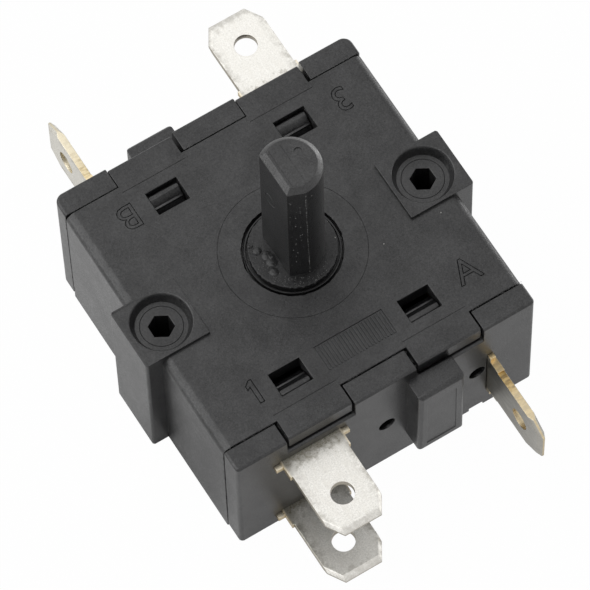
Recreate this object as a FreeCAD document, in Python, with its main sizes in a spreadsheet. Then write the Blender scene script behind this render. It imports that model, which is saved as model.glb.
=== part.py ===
import FreeCAD, Part
import math
import os

import Sketcher
from FreeCAD import Placement, Rotation, Vector

# Panel-mounted rotary switch with five quick-connect blades.
# Frame: +Z up the shaft, +X along the line through the two mounting ears, +Y to the back.
# The origin lies on the shaft axis, in the plane of the cover's lower edges.

doc = FreeCAD.newDocument("rotarySwitch")
sheet = doc.addObject("Spreadsheet::Sheet", "sizes")

drivingSizes = {
    # housing
    "bodyLength": 34.0,
    "bodyDepth": 34.6,
    "coverTop": 18.3,
    "plateThickness": 2.0,
    "sideWall": 1.7,
    "endWall": 2.4,
    "wallRib": 1.5,
    "floorRise": 0.8,
    "floorThickness": 1.3,
    "seamGap": 0.15,
    "rearSeamGap": 0.06,
    "shoulderRound": 1.0,
    "frontCornerRound": 0.45,
    "rearCornerRound": 1.0,
    "softEdge": 0.3,
    # tabs of the cover that lie over the end walls
    "tabInner": 3.75,
    "tabWidth": 7.2,
    "tabThickness": 1.9,
    "tabInset": 0.3,
    "tabSideGap": 0.35,
    "tabUnderGap": 0.4,
    # ears and screw holes
    "earSpan": 37.5,
    "earWidth": 6.9,
    "earInner": 12.6,
    "padInner": 11.5,
    "padHeight": 0.4,
    "screwSpacing": 30.0,
    "recessRadius": 3.1,
    "recessFloorRadius": 2.62,
    "recessDepth": 1.05,
    "pilotAcrossCorners": 2.6,
    "pilotDepth": 13.0,
    # snap windows and hooks
    "windowInner": 5.6,
    "windowWidth": 3.5,
    "windowNear": 10.15,
    "windowFar": 12.8,
    "ledgeWidth": 0.4,
    "ledgeDrop": 1.2,
    "hookThickness": 1.1,
    "hookGap": 0.1,
    "hookHead": 0.6,
    "hookFlat": 0.65,
    "hookNose": 0.6,
    "hookNoseFoot": 15.2,
    "hookNoseTop": 16.4,
    # protruding end blocks and small holes of the end walls
    "blockInner": 2.2,
    "blockWidth": 5.2,
    "blockReach": 2.5,
    "blockBottom": 4.6,
    "frontBlockTop": 16.8,
    "rearBlockTop": 14.6,
    "blockRound": 0.5,
    "insetInner": 0.9,
    "insetOuter": 1.0,
    "insetFoot": 1.2,
    "insetHead": 1.9,
    "insetDepth": 0.07,
    "pinHoleRadius": 0.9,
    "pinHoleDepth": 1.6,
    "pinHoleHeight": 9.2,
    "pinHoleOffset": 10.45,
    "notchWidth": 1.6,
    "notchHeight": 0.5,
    # rotor
    "shaftRadius": 3.17,
    "shaftTop": 37.0,
    "shaftFlat": 1.9,
    "facetDistance": 3.045,
    "shaftChamfer": 0.55,
    "gateAcross": 1.37,
    "gateAside": 0.75,
    "gateRadius": 0.4,
    "gateDepth": 0.15,
    "hubRadius": 4.86,
    "hubClearance": 0.08,
    "hubCrownRadius": 4.37,
    "hubCrownRise": 0.55,
    "hubGrooveWidth": 0.25,
    "hubGrooveDepth": 0.5,
    "discRadius": 6.9,
    "headroom": 0.1,
    "camRadius": 8.4,
    "camDrop": 0.9,
    "camBottom": 3.6,
    "trackHeight": 3.2,
    "pivotRadius": 2.45,
    "pivotLength": 2.1,
    "pivotClearance": 0.07,
    "pivotBossWall": 1.4,
    "stopRadius": 6.6,
    "stopHeight": 1.1,
    "stopLugAngle": 38.0,
    "stopPlay": 0.5,
    "stopGap": 0.3,
    "drumGap": 0.2,
    "travelAngle": 270.0,
    # detent
    "ballRadius": 1.25,
    "ballClearance": 0.05,
    "detentRingRadius": 7.4,
    "detentRingWall": 1.9,
    "detentRingHeight": 2.7,
    "detentDepth": 0.45,
    "ballHeight": 14.7,
    "springWire": 0.3,
    "springRadius": 0.98,
    "springTurns": 6.0,
    # blades
    "bladeWidth": 6.35,
    "bladeThickness": 0.8,
    "bladeReach": 27.0,
    "bladeOffset": 8.75,
    "tipChamferLength": 1.8,
    "tipChamferWidth": 1.1,
    "neckWidth": 6.85,
    "neckLength": 1.9,
    "bladeHoleRadius": 1.2,
    "bladeHoleInset": 3.8,
    "slotClearance": 0.05,
    "upperBladeTop": 14.75,
    "commonOffset": 12.0,
    "frontCommonHeight": 7.8,
    "rearCommonHeight": 11.0,
    # contact system
    "stripInner": 9.4,
    "contactStation": 8.1,
    "tabHalfLength": 1.7,
    "armThickness": 0.3,
    "armWidth": 2.6,
    "armRootEnd": 12.6,
    "armTipEnd": 9.7,
    "rivetStation": 11.0,
    "commonInnerEnd": 6.0,
    "noseHalfWidth": 1.9,
    "noseCrownHalf": 0.57,
    "armBend": 0.2,
    "noseClearance": 0.1,
    "contactRadius": 1.3,
    "contactHead": 0.5,
    "shankRadius": 0.7,
    "tailRadius": 1.0,
    "tailHead": 0.3,
    "rivetClearance": 0.02,
    "contactMargin": 0.3,
    "supportThickness": 1.2,
    "supportLength": 2.0,
    "lugReach": 0.75,
    "lugDepth": 0.55,
    "lugThickness": 0.64,
    "coinEdge": 0.28,
}


class Size:
    # A length that knows its present value and how it is worked out from the sheet.

    def __init__(self, value, text):
        self.value = value
        self.text = text

    def __add__(self, other):
        other = asSize(other)
        return Size(self.value + other.value, "(%s + %s)" % (self.text, other.text))

    def __sub__(self, other):
        other = asSize(other)
        return Size(self.value - other.value, "(%s - %s)" % (self.text, other.text))

    def __mul__(self, other):
        other = asSize(other)
        return Size(self.value * other.value, "(%s * %s)" % (self.text, other.text))

    def __truediv__(self, other):
        other = asSize(other)
        return Size(self.value / other.value, "(%s / %s)" % (self.text, other.text))

    def __neg__(self):
        return Size(-self.value, "(-1 * %s)" % self.text)


def asSize(value):
    return value if isinstance(value, Size) else Size(float(value), repr(float(value)))


def fillSheet():
    for row, (alias, value) in enumerate(drivingSizes.items(), start=1):
        sheet.set("A%d" % row, alias)
        sheet.set("B%d" % row, str(value))
        sheet.setAlias("B%d" % row, alias)
    doc.recompute()


fillSheet()


def size(alias):
    return Size(float(sheet.get(alias)), "sizes.%s" % alias)


zero = asSize(0)
# how far a cutting sketch runs past the solid
overcut = asSize(1)

# planes and levels worked out from the driving sizes
sideFace = size("bodyLength") / 2
endFace = size("bodyDepth") / 2
seamFace = endFace - size("endWall")
coverTop = size("coverTop")
plateUnder = coverTop - size("plateThickness")
sideInner = sideFace - size("sideWall")
floorBottom = size("floorRise")
floorTop = floorBottom + size("floorThickness")
ribFace = seamFace - size("wallRib")
padTop = coverTop + size("padHeight")
earFace = size("earSpan") / 2
screwCentre = size("screwSpacing") / 2
tabOuter = size("tabInner") + size("tabWidth")
tabFace = endFace - size("tabInset")
tabUnder = coverTop - size("tabThickness")
windowOuter = size("windowInner") + size("windowWidth")
ledgeTop = coverTop - size("ledgeDrop")
ledgeFace = size("windowFar") - size("ledgeWidth")
blockOuter = size("blockInner") + size("blockWidth")
discTop = plateUnder - size("headroom")
camTop = size("camBottom") + size("trackHeight") * 3
crownTop = coverTop + size("hubCrownRise")
lowRadius = size("camRadius") - size("camDrop")
hubHoleRadius = size("hubRadius") + size("hubClearance")
ballBoreRadius = size("ballRadius") + size("ballClearance")
ballStation = size("detentRingRadius") - size("ballRadius") - size("ballClearance")
bladeHalf = size("bladeWidth") / 2
neckHalf = size("neckWidth") / 2
upperBladeBottom = size("upperBladeTop") - size("bladeThickness")
stripOuter = size("bladeOffset") + bladeHalf
stripInner = size("stripInner")
tabBack = stripInner - size("bladeThickness")
commonInnerFace = size("commonOffset") - size("bladeThickness") / 2
commonOuterFace = size("commonOffset") + size("bladeThickness") / 2
armInnerFace = commonInnerFace - size("armThickness")
lowerTrack = size("camBottom") + size("trackHeight") * 0.5
middleTrack = size("camBottom") + size("trackHeight") * 1.5
upperTrack = size("camBottom") + size("trackHeight") * 2.5


# drawing and feature helpers
def newBody(name):
    body = doc.addObject("PartDesign::Body", name)
    body.Label = name
    return body


def originFeature(body, role):
    return [f for f in body.Origin.OriginFeatures if f.Role == role][0]


def newSketch(body, name, plane="XY_Plane", level=zero, turn=0.0):
    sketch = body.newObject("Sketcher::SketchObject", name)
    sketch.AttachmentSupport = (originFeature(body, plane), [""])
    sketch.MapMode = "FlatFace"
    # an upright plane turns about the shaft axis too, which is its own second axis
    spin = Rotation(Vector(0, 0, 1) if plane == "XY_Plane" else Vector(0, 1, 0), turn)
    sketch.AttachmentOffset = Placement(Vector(0, 0, level.value), spin)
    if level.value or level is not zero:
        sketch.setExpression("AttachmentOffset.Base.z", level.text)
    return sketch


def driven(sketch, kind, *reference, to):
    index = sketch.addConstraint(Sketcher.Constraint(kind, *reference, to.value))
    sketch.setExpression("Constraints[%d]" % index, to.text)


def pinPoint(sketch, geometry, position, x, y):
    for kind, axis, place in (("DistanceX", -2, x), ("DistanceY", -1, y)):
        if place is zero:
            sketch.addConstraint(Sketcher.Constraint("PointOnObject", geometry, position, axis))
        else:
            driven(sketch, kind, -1, 1, geometry, position, to=place)


def outline(sketch, points):
    points = [(asZero(x), asZero(y)) for x, y in points]
    corners = [Vector(x.value, y.value, 0) for x, y in points]
    first = sketch.GeometryCount
    count = len(corners)
    for i in range(count):
        sketch.addGeometry(Part.LineSegment(corners[i], corners[(i + 1) % count]))
    for i in range(count):
        sketch.addConstraint(Sketcher.Constraint("Coincident", first + i, 2, first + (i + 1) % count, 1))
    for i, (x, y) in enumerate(points):
        pinPoint(sketch, first + i, 1, x, y)


def asZero(value):
    value = asSize(value)
    return zero if value.text == "0.0" else value


def rectangle(sketch, x0, x1, y0, y1):
    outline(sketch, [(x0, y0), (x1, y0), (x1, y1), (x0, y1)])


def circle(sketch, x, y, radius):
    x, y, radius = asZero(x), asZero(y), asSize(radius)
    index = sketch.addGeometry(Part.Circle(Vector(x.value, y.value, 0), Vector(0, 0, 1), radius.value))
    driven(sketch, "Radius", index, to=radius)
    pinPoint(sketch, index, 3, x, y)


def volumeOf(body):
    return body.Shape.Volume if not body.Shape.isNull() else 0.0


def addPad(body, sketch, length):
    before = volumeOf(body)
    pad = body.newObject("PartDesign::Pad", sketch.Name + "Pad")
    pad.Profile = sketch
    pad.setExpression("Length", length.text)
    doc.recompute()
    if volumeOf(body) <= before:
        raise ValueError("nothing added by " + pad.Name)
    return pad


def addPocket(body, sketch, length, sides="One side"):
    before = volumeOf(body)
    pocket = body.newObject("PartDesign::Pocket", sketch.Name + "Cut")
    pocket.Profile = sketch
    pocket.setExpression("Length", length.text)
    pocket.SideType = sides
    pocket.Reversed = sides == "One side"
    doc.recompute()
    if volumeOf(body) >= before:
        raise ValueError("nothing cut by " + pocket.Name)
    return pocket


def addTurned(body, sketch, kind, suffix):
    turned = body.newObject(kind, sketch.Name + suffix)
    turned.Profile = sketch
    turned.ReferenceAxis = (originFeature(body, "Z_Axis"), [""])
    turned.Angle = 360.0
    doc.recompute()
    return turned


def dress(body, kind, name, edges, amount):
    # Fillet or chamfer on the edges of the present tip that pass the test.
    base = body.Tip
    names = ["Edge%d" % (i + 1) for i, edge in enumerate(base.Shape.Edges) if edges(edge)]
    if not names:
        raise ValueError("no edges for " + name)
    feature = body.newObject(kind, name)
    feature.Base = (base, names)
    feature.setExpression("Radius" if kind.endswith("Fillet") else "Size", amount.text)
    doc.recompute()
    return feature


def ends(edge):
    return [vertex.Point for vertex in edge.Vertexes]


def near(a, b):
    return abs(a - (b.value if isinstance(b, Size) else b)) < 1e-4


def block(body, name, x0, x1, y0, y1, z0, z1):
    sketch = newSketch(body, name, level=asSize(z0))
    rectangle(sketch, x0, x1, y0, y1)
    return addPad(body, sketch, asSize(z1) - asSize(z0))


def slot(body, name, x0, x1, y0, y1, z0, z1):
    sketch = newSketch(body, name, level=asSize(z0))
    rectangle(sketch, x0, x1, y0, y1)
    return addPocket(body, sketch, asSize(z1) - asSize(z0))


def mirroredSpan(side, low, high):
    # The span low..high, or its mirror image, always given in rising order.
    return (low, high) if side > 0 else (-high, -low)


def doubled(point):
    # The same point after half a turn about the shaft axis.
    return (-point[0], -point[1])


def cosOf(angle):
    return Size(math.cos(math.radians(angle.value)), "cos(%s * 1 deg)" % angle.text)


def sinOf(angle):
    return Size(math.sin(math.radians(angle.value)), "sin(%s * 1 deg)" % angle.text)


def isVertical(edge):
    points = ends(edge)
    return len(points) == 2 and near(points[0].x, points[1].x) and near(points[0].y, points[1].y)


def runsAlongY(edge):
    points = ends(edge)
    return len(points) == 2 and near(points[0].x, points[1].x) and near(points[0].z, points[1].z)


def runsAlongX(edge):
    points = ends(edge)
    return len(points) == 2 and near(points[0].y, points[1].y) and near(points[0].z, points[1].z)


# cover: plate, side walls, ear columns, detent ring
def makeCover():
    cover = newBody("cover")
    frontEdge, rearEdge = seamFace - size("seamGap"), seamFace - size("rearSeamGap")
    block(cover, "shell", -sideFace, sideFace, -frontEdge, rearEdge, 0, coverTop)

    def isShoulder(edge):
        return runsAlongY(edge) and near(abs(ends(edge)[0].x), sideFace) and near(ends(edge)[0].z, coverTop)

    dress(cover, "PartDesign::Fillet", "shoulders", isShoulder, size("shoulderRound"))
    slot(cover, "cavity", -sideInner, sideInner, -endFace, endFace, 0, plateUnder)
    for side in (-1, 1):
        tag = "Right" if side > 0 else "Left"
        low, high = mirroredSpan(side, size("earInner"), earFace)
        halfEar = size("earWidth") / 2
        block(cover, "ear" + tag, low, high, -halfEar, halfEar, 0, coverTop)
        low, high = mirroredSpan(side, size("padInner"), earFace)
        block(cover, "pad" + tag, low, high, -halfEar, halfEar, coverTop, padTop)

    def isEarCorner(edge):
        return isVertical(edge) and near(abs(ends(edge)[0].x), earFace)

    dress(cover, "PartDesign::Fillet", "earCorners", isEarCorner, size("softEdge"))
    for end in (-1, 1):
        for side in (-1, 1):
            tag = ("Back" if end > 0 else "Front") + ("Right" if side > 0 else "Left")
            x0, x1 = mirroredSpan(side, size("tabInner"), tabOuter)
            y0, y1 = mirroredSpan(end, rearEdge if end > 0 else frontEdge, tabFace)
            block(cover, "tab" + tag, x0, x1, y0, y1, tabUnder, coverTop)

    def isTabLip(edge):
        return runsAlongX(edge) and near(abs(ends(edge)[0].y), tabFace) and near(ends(edge)[0].z, coverTop)

    dress(cover, "PartDesign::Fillet", "tabLips", isTabLip, size("softEdge"))
    for end in (-1, 1):
        for side in (-1, 1):
            tag = ("Back" if end > 0 else "Front") + ("Right" if side > 0 else "Left")
            x0, x1 = mirroredSpan(side, size("windowInner"), windowOuter)
            y0, y1 = mirroredSpan(end, size("windowNear"), ledgeFace)
            slot(cover, "window" + tag, x0, x1, y0, y1, plateUnder, coverTop)
            y0, y1 = mirroredSpan(end, size("windowNear"), size("windowFar"))
            slot(cover, "ledge" + tag, x0, x1, y0, y1, ledgeTop, coverTop)
    hole = newSketch(cover, "hubHole", level=plateUnder)
    circle(hole, 0, 0, hubHoleRadius)
    addPocket(cover, hole, size("plateThickness"))
    addDetentRing(cover)
    for side in (-1, 1):
        addScrewHole(cover, side)
    return cover


def addDetentRing(cover):
    ringBottom = plateUnder - size("detentRingHeight")
    ring = newSketch(cover, "detentRing", level=ringBottom)
    circle(ring, 0, 0, size("detentRingRadius") + size("detentRingWall"))
    circle(ring, 0, 0, size("detentRingRadius"))
    addPad(cover, ring, size("detentRingHeight"))
    pocketCentre = ballStation + size("detentDepth")
    for quarter in range(4):
        seat = newSketch(cover, "ballSeat%d" % quarter, level=ringBottom, turn=90.0 * quarter)
        circle(seat, pocketCentre, 0, ballBoreRadius)
        addPocket(cover, seat, size("detentRingHeight"))


def addScrewHole(cover, side):
    tag = "Right" if side > 0 else "Left"
    recessFloor = padTop - size("recessDepth")
    centre = screwCentre if side > 0 else -screwCentre
    before = volumeOf(cover)
    recess = cover.newObject("PartDesign::SubtractiveCone", "recess" + tag)
    recess.setExpression("Radius1", size("recessFloorRadius").text)
    recess.setExpression("Radius2", size("recessRadius").text)
    recess.setExpression("Height", size("recessDepth").text)
    recess.setExpression("Placement.Base.x", centre.text)
    recess.setExpression("Placement.Base.z", recessFloor.text)
    doc.recompute()
    if volumeOf(cover) >= before:
        raise ValueError("nothing cut by " + recess.Name)
    pilot = newSketch(cover, "pilot" + tag, level=recessFloor - size("pilotDepth"))
    corner = size("pilotAcrossCorners") / 2
    flat = corner * cosOf(asSize(30))
    half = corner / 2
    outline(pilot, [(centre, corner), (centre - flat, half), (centre - flat, -half),
                    (centre, -corner), (centre + flat, -half), (centre + flat, half)])
    addPocket(cover, pilot, size("pilotDepth"))


# base: floor, end walls with blade slots, hooks, bearing and stop
def makeBase():
    base = newBody("base")
    floorSide = sideInner - size("seamGap")
    block(base, "floor", -floorSide, floorSide, -endFace, endFace, floorBottom, floorTop)
    earGap = size("earWidth") / 2 + size("seamGap")
    for side in (-1, 1):
        x0, x1 = mirroredSpan(side, size("earInner") - size("seamGap"), sideInner)
        slot(base, "earNotch" + ("Right" if side > 0 else "Left"), x0, x1, -earGap, earGap,
             floorBottom, floorTop)
    for end in (-1, 1):
        tag = "Back" if end > 0 else "Front"
        y0, y1 = mirroredSpan(end, seamFace, endFace)
        block(base, "wall" + tag, -sideFace, sideFace, y0, y1, floorBottom, coverTop)

    for tag, face, radius in (("Front", -endFace, size("frontCornerRound")),
                              ("Rear", endFace, size("rearCornerRound"))):
        def isWallCorner(edge):
            point = ends(edge)[0]
            return isVertical(edge) and near(abs(point.x), sideFace) and near(point.y, face)

        dress(base, "PartDesign::Fillet", "wallCorners" + tag, isWallCorner, radius)

    def isWallTop(edge):
        points = edge.Vertexes and ends(edge)
        onTop = points and all(near(p.z, coverTop) for p in points)
        return bool(onTop) and min(abs(p.y) for p in points) > seamFace.value + size("softEdge").value

    dress(base, "PartDesign::Fillet", "wallTops", isWallTop, size("softEdge"))
    for end in (-1, 1):
        addEndWallDetail(base, end)
    addBearingAndStop(base)
    addHooks(base)
    addCommonSupports(base)
    return base


def addEndWallDetail(base, end):
    tag = "Back" if end > 0 else "Front"
    ribSide = sideInner - size("seamGap")
    y0, y1 = mirroredSpan(end, ribFace, seamFace)
    ribTop = plateUnder - size("seamGap")
    block(base, "rib" + tag, -ribSide, ribSide, y0, y1, floorTop, ribTop)
    recessFloor = tabUnder - size("tabUnderGap")
    y0, y1 = mirroredSpan(end, seamFace, endFace)
    lowGap, highGap = size("tabSideGap"), size("seamGap")
    if end > 0:
        lowGap, highGap = size("rearSeamGap"), size("tabSideGap")
    for side in (-1, 1):
        low, high = mirroredSpan(side, size("tabInner"), tabOuter)
        slot(base, "tabSeat%s%s" % (tag, "Right" if side > 0 else "Left"),
             low - lowGap, high + highGap, y0, y1, recessFloor, coverTop)

    def isLedge(edge):
        point = ends(edge)[0] if edge.Vertexes else None
        return (point is not None and runsAlongX(edge) and near(point.z, recessFloor)
                and near(point.y * end, endFace))

    dress(base, "PartDesign::Fillet", "ledge" + tag, isLedge, size("softEdge"))
    x0, x1 = mirroredSpan(-end, size("blockInner"), blockOuter)
    y0, y1 = mirroredSpan(end, endFace, endFace + size("blockReach"))
    blockTop = size("rearBlockTop") if end > 0 else size("frontBlockTop")
    block(base, "endBlock" + tag, x0, x1, y0, y1, size("blockBottom"), blockTop)

    def isBlockEdge(edge):
        face = endFace + size("blockReach")
        return bool(edge.Vertexes) and all(near(p.y * end, face) for p in ends(edge))

    dress(base, "PartDesign::Fillet", "blockRound" + tag, isBlockEdge, size("blockRound"))
    x0, x1 = mirroredSpan(-end, size("blockInner") + size("insetInner"), blockOuter - size("insetOuter"))
    y0, y1 = mirroredSpan(end, endFace + size("blockReach") - size("insetDepth"),
                          endFace + size("blockReach"))
    slot(base, "blockInset" + tag, x0, x1, y0, y1, size("blockBottom") + size("insetFoot"),
         blockTop - size("insetHead"))
    level = endFace - size("pinHoleDepth") if end < 0 else -endFace
    for number, x in enumerate((zero, size("pinHoleOffset") * (-end))):
        hole = newSketch(base, "pinHole%s%d" % (tag, number), "XZ_Plane", level)
        circle(hole, x, size("pinHoleHeight"), size("pinHoleRadius"))
        addPocket(base, hole, size("pinHoleDepth"))
    halfNotch = size("notchWidth") / 2
    centre = size("pinHoleOffset") * (-end)
    y0, y1 = mirroredSpan(end, endFace - halfNotch, endFace)
    slot(base, "edgeNotch" + tag, centre - halfNotch, centre + halfNotch, y0, y1,
         floorBottom, floorBottom + size("notchHeight"))
    addBladeSlots(base, end)


def addBladeSlots(base, end):
    tag = "Back" if end > 0 else "Front"
    gap = size("slotClearance")
    x0, x1 = mirroredSpan(end, size("bladeOffset") - neckHalf - gap, size("bladeOffset") + neckHalf + gap)
    y0, y1 = mirroredSpan(end, ribFace, endFace)
    slot(base, "upperSlot" + tag, x0, x1, y0, y1, upperBladeBottom - gap, size("upperBladeTop") + gap)
    if end < 0:
        slot(base, "lowerSlot" + tag, x0, x1, y0, y1, floorTop, floorTop + size("bladeThickness") + gap)
    x0, x1 = mirroredSpan(-end, commonInnerFace - gap, commonOuterFace + gap)
    height = size("rearCommonHeight") if end > 0 else size("frontCommonHeight")
    slot(base, "commonSlot" + tag, x0, x1, y0, y1, height - neckHalf - gap, height + neckHalf + gap)


def sector(sketch, inner, outer, halfAngle, centreAngle):
    # A ring sector drawn with straight sides and one middle point on its outer edge.
    points = []
    for radius, steps in ((inner, (-1, 1)), (outer, (1, 0, -1))):
        for step in steps:
            angle = asSize(centreAngle) + halfAngle * step
            points.append((radius * cosOf(angle), radius * sinOf(angle)))
    outline(sketch, points)


def addBearingAndStop(base):
    bossRadius = size("pivotRadius") + size("pivotClearance") + size("pivotBossWall")
    bossTop = size("camBottom") - size("drumGap")
    boss = newSketch(base, "bearingBoss", level=floorTop)
    circle(boss, 0, 0, bossRadius)
    addPad(base, boss, bossTop - floorTop)
    spare = asSize(360) - size("travelAngle") - size("stopLugAngle")
    rib = newSketch(base, "stopRib", level=floorTop)
    ribInner = size("pivotRadius") + size("pivotBossWall") / 2
    sector(rib, ribInner, size("stopRadius"), spare / 2 - size("stopPlay"), -90)
    addPad(base, rib, bossTop - floorTop)
    boreFloor = size("camBottom") - size("pivotLength") - size("seamGap")
    bore = newSketch(base, "bearingBore", level=boreFloor)
    circle(bore, 0, 0, size("pivotRadius") + size("pivotClearance"))
    addPocket(base, bore, bossTop - boreFloor)


def addHookHead(base, tag, end, low, inner, shoulder):
    # The head fills its window: a lip over the cover's ledge, and a sloped nose on the inner side.
    lip = size("windowFar") - size("hookGap")
    outer = ledgeFace - size("hookGap")
    nose = inner - size("hookNose")
    headTop = shoulder + size("hookHead")
    head = newSketch(base, "hookHead" + tag, "YZ_Plane", low)
    profile = [(inner, size("hookNoseFoot")), (nose, size("hookNoseFoot")), (nose, size("hookNoseTop")),
               (lip - size("hookFlat"), headTop), (lip, headTop), (lip, shoulder), (outer, shoulder),
               (outer, size("hookNoseFoot"))]
    outline(head, profile if end > 0 else [(-y, z) for y, z in profile])
    addPad(base, head, size("windowWidth") - size("hookGap") * 2)


def addHooks(base):
    x0 = size("windowInner") + size("hookGap")
    x1 = windowOuter - size("hookGap")
    outer = ledgeFace - size("hookGap")
    inner = outer - size("hookThickness")
    shoulder = ledgeTop + size("headroom")
    for end in (-1, 1):
        for side in (-1, 1):
            tag = ("Back" if end > 0 else "Front") + ("Right" if side > 0 else "Left")
            low, high = mirroredSpan(side, x0, x1)
            y0, y1 = mirroredSpan(end, inner, outer)
            block(base, "hook" + tag, low, high, y0, y1, floorTop, shoulder)
            addHookHead(base, tag, end, low, inner, shoulder)

    def isHookTip(edge):
        points = ends(edge) if edge.Vertexes else []
        top = shoulder + size("hookHead")
        return (len(points) == 2 and runsAlongX(edge) and near(points[0].z, top)
                and near(abs(points[0].y), size("windowFar") - size("hookGap")))

    dress(base, "PartDesign::Fillet", "hookTips", isHookTip, size("softEdge"))


def addCommonSupports(base):
    # Posts that stand behind the two common plates.
    for end, top in ((-1, size("frontCommonHeight")), (1, size("rearCommonHeight"))):
        tag = "Back" if end > 0 else "Front"
        x0, x1 = mirroredSpan(-end, commonOuterFace, commonOuterFace + size("supportThickness"))
        start = size("commonInnerEnd") + size("headroom")
        y0, y1 = mirroredSpan(end, start, start + size("supportLength"))
        block(base, "commonPost" + tag, x0, x1, y0, y1, floorTop, top)


# the narrow facet beside the shaft's flat faces this way
facetTurn = 249.2


def cutShaftFace(rotor, name, distance, turn):
    # A flat face at the given distance from the shaft axis, bevelled at its top edge like the rim.
    bevel, top, outside = size("shaftChamfer"), size("shaftTop"), size("shaftRadius") + overcut
    face = newSketch(rotor, name, "XZ_Plane", turn=turn)
    outline(face, [(distance, crownTop), (outside, crownTop), (outside, top),
                   (distance - bevel, top), (distance, top - bevel)])
    addPocket(rotor, face, outside * 2, "Symmetric")


# rotor: pivot, cam drum, detent disc, hub and flatted shaft in one moulding
def makeRotor():
    rotor = newBody("rotor")
    profile = newSketch(rotor, "rotorProfile", "XZ_Plane")
    shaft, hub = size("shaftRadius"), size("hubRadius")
    crown = size("hubCrownRadius")
    groove = crown + size("hubGrooveWidth")
    grooveFloor = coverTop - size("hubGrooveDepth")
    outline(profile, [
        (0, size("camBottom") - size("pivotLength")),
        (size("pivotRadius"), size("camBottom") - size("pivotLength")),
        (size("pivotRadius"), size("camBottom")),
        (size("camRadius"), size("camBottom")),
        (size("camRadius"), camTop),
        (size("discRadius"), camTop),
        (size("discRadius"), discTop),
        (hub, discTop),
        (hub, coverTop),
        (groove, coverTop),
        (groove, grooveFloor),
        (crown, grooveFloor),
        (crown, crownTop),
        (shaft, crownTop),
        (shaft, size("shaftTop") - size("shaftChamfer")),
        (shaft - size("shaftChamfer"), size("shaftTop")),
        (0, size("shaftTop")),
    ])
    addTurned(rotor, profile, "PartDesign::Revolution", "Turned")
    for name, distance, turn in (("shaftFlat", size("shaftFlat"), 180.0),
                                 ("shaftFacet", size("facetDistance"), facetTurn)):
        cutShaftFace(rotor, name, distance, turn)
    gate = newSketch(rotor, "gateMark", level=size("shaftTop") - size("gateDepth"))
    circle(gate, size("gateAcross"), size("gateAside"), size("gateRadius"))
    addPocket(rotor, gate, size("gateDepth"))
    bore = newSketch(rotor, "ballBore", "YZ_Plane", -size("camRadius"))
    circle(bore, 0, size("ballHeight"), ballBoreRadius)
    addPocket(rotor, bore, size("camRadius") * 2)
    # one flat for each position in which a contact closes, as turned past the contact arm
    closings = {"lower": (0, (0, -90)), "middle": (1, (90,)), "upper": (2, (90, 0, -90))}
    for track, (level, angles) in closings.items():
        for angle in angles:
            name = "%sFlat%d" % (track, angle % 360)
            flat = newSketch(rotor, name, level=size("camBottom") + size("trackHeight") * level, turn=angle)
            rectangle(flat, lowRadius, size("camRadius") + overcut, -size("camRadius"), size("camRadius"))
            addPocket(rotor, flat, size("trackHeight"))
    lug = newSketch(rotor, "stopLug", level=size("camBottom") - size("stopHeight"))
    boss = size("pivotRadius") + size("pivotClearance") + size("pivotBossWall")
    sector(lug, boss + size("stopGap"), size("stopRadius"), size("stopLugAngle") / 2, -45)
    addPad(rotor, lug, size("stopHeight"))
    return rotor


# blades
def bladeTip(centre, outward):
    # Tip of a blade: points across and outwards, from one neck corner to the other.
    cut, half, reach = size("tipChamferWidth"), bladeHalf, size("bladeReach")
    tipStart = reach - size("tipChamferLength")
    neckEnd = endFace + size("neckLength")
    run = [(neckHalf, neckEnd), (half, neckEnd), (half, tipStart), (half - cut, reach),
           (cut - half, reach), (-half, tipStart), (-half, neckEnd), (-neckHalf, neckEnd)]
    return [(centre + across, out if outward > 0 else -out) for across, out in run]


def makeFlatTerminal(name, end, bottom, tabLow, tabHigh):
    # A level blade at the front (end -1) or back (end +1) with an upright contact tab inside.
    body = newBody(name)
    centre = size("bladeOffset") if end > 0 else -size("bladeOffset")
    tabNear = size("contactStation") - size("tabHalfLength")
    tabFar = size("contactStation") + size("tabHalfLength")
    plan = newSketch(body, name + "Plan", level=bottom)
    points = bladeTip(size("bladeOffset"), 1)
    strip = [(size("bladeOffset") - neckHalf, ribFace), (stripInner, ribFace), (stripInner, tabNear),
             (stripOuter, tabNear), (stripOuter, ribFace), (size("bladeOffset") + neckHalf, ribFace)]
    points = points + strip
    if end < 0:
        points = [doubled(point) for point in points]
    outline(plan, points)
    addPad(body, plan, size("bladeThickness"))
    x0, x1 = mirroredSpan(end, tabBack, stripInner)
    y0, y1 = mirroredSpan(end, tabNear, tabFar)
    block(body, name + "Tab", x0, x1, y0, y1, tabLow, tabHigh)
    addLugs(body, name, end, centre, bottom)
    eye = newSketch(body, name + "Eye", level=bottom)
    eyeAt = size("bladeReach") - size("bladeHoleInset")
    circle(eye, centre, eyeAt if end > 0 else -eyeAt, size("bladeHoleRadius"))
    addPocket(body, eye, size("bladeThickness"))
    rivetHole = newSketch(body, name + "RivetHole", "YZ_Plane", tabBack if end > 0 else -stripInner)
    station = size("contactStation") if end > 0 else -size("contactStation")
    circle(rivetHole, station, contactLevel(name), size("shankRadius") + size("rivetClearance"))
    addPocket(body, rivetHole, size("bladeThickness"))
    coinTip(body, name, end)
    return body


def contactLevel(name):
    return {"terminal_front_upper": upperTrack, "terminal_front_lower": lowerTrack,
            "terminal_rear_upper": middleTrack}[name]


def addLugs(body, name, end, centre, bottom):
    # Staked lugs that lie against the outside of the wall, one on each side of the neck.
    y0, y1 = mirroredSpan(end, endFace, endFace + size("lugDepth"))
    for side in (-1, 1):
        x0, x1 = mirroredSpan(side, neckHalf - size("seamGap"), neckHalf + size("lugReach"))
        block(body, "%sLug%d" % (name, side + 1), centre + x0, centre + x1, y0, y1,
              bottom, bottom + size("lugThickness"))


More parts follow.
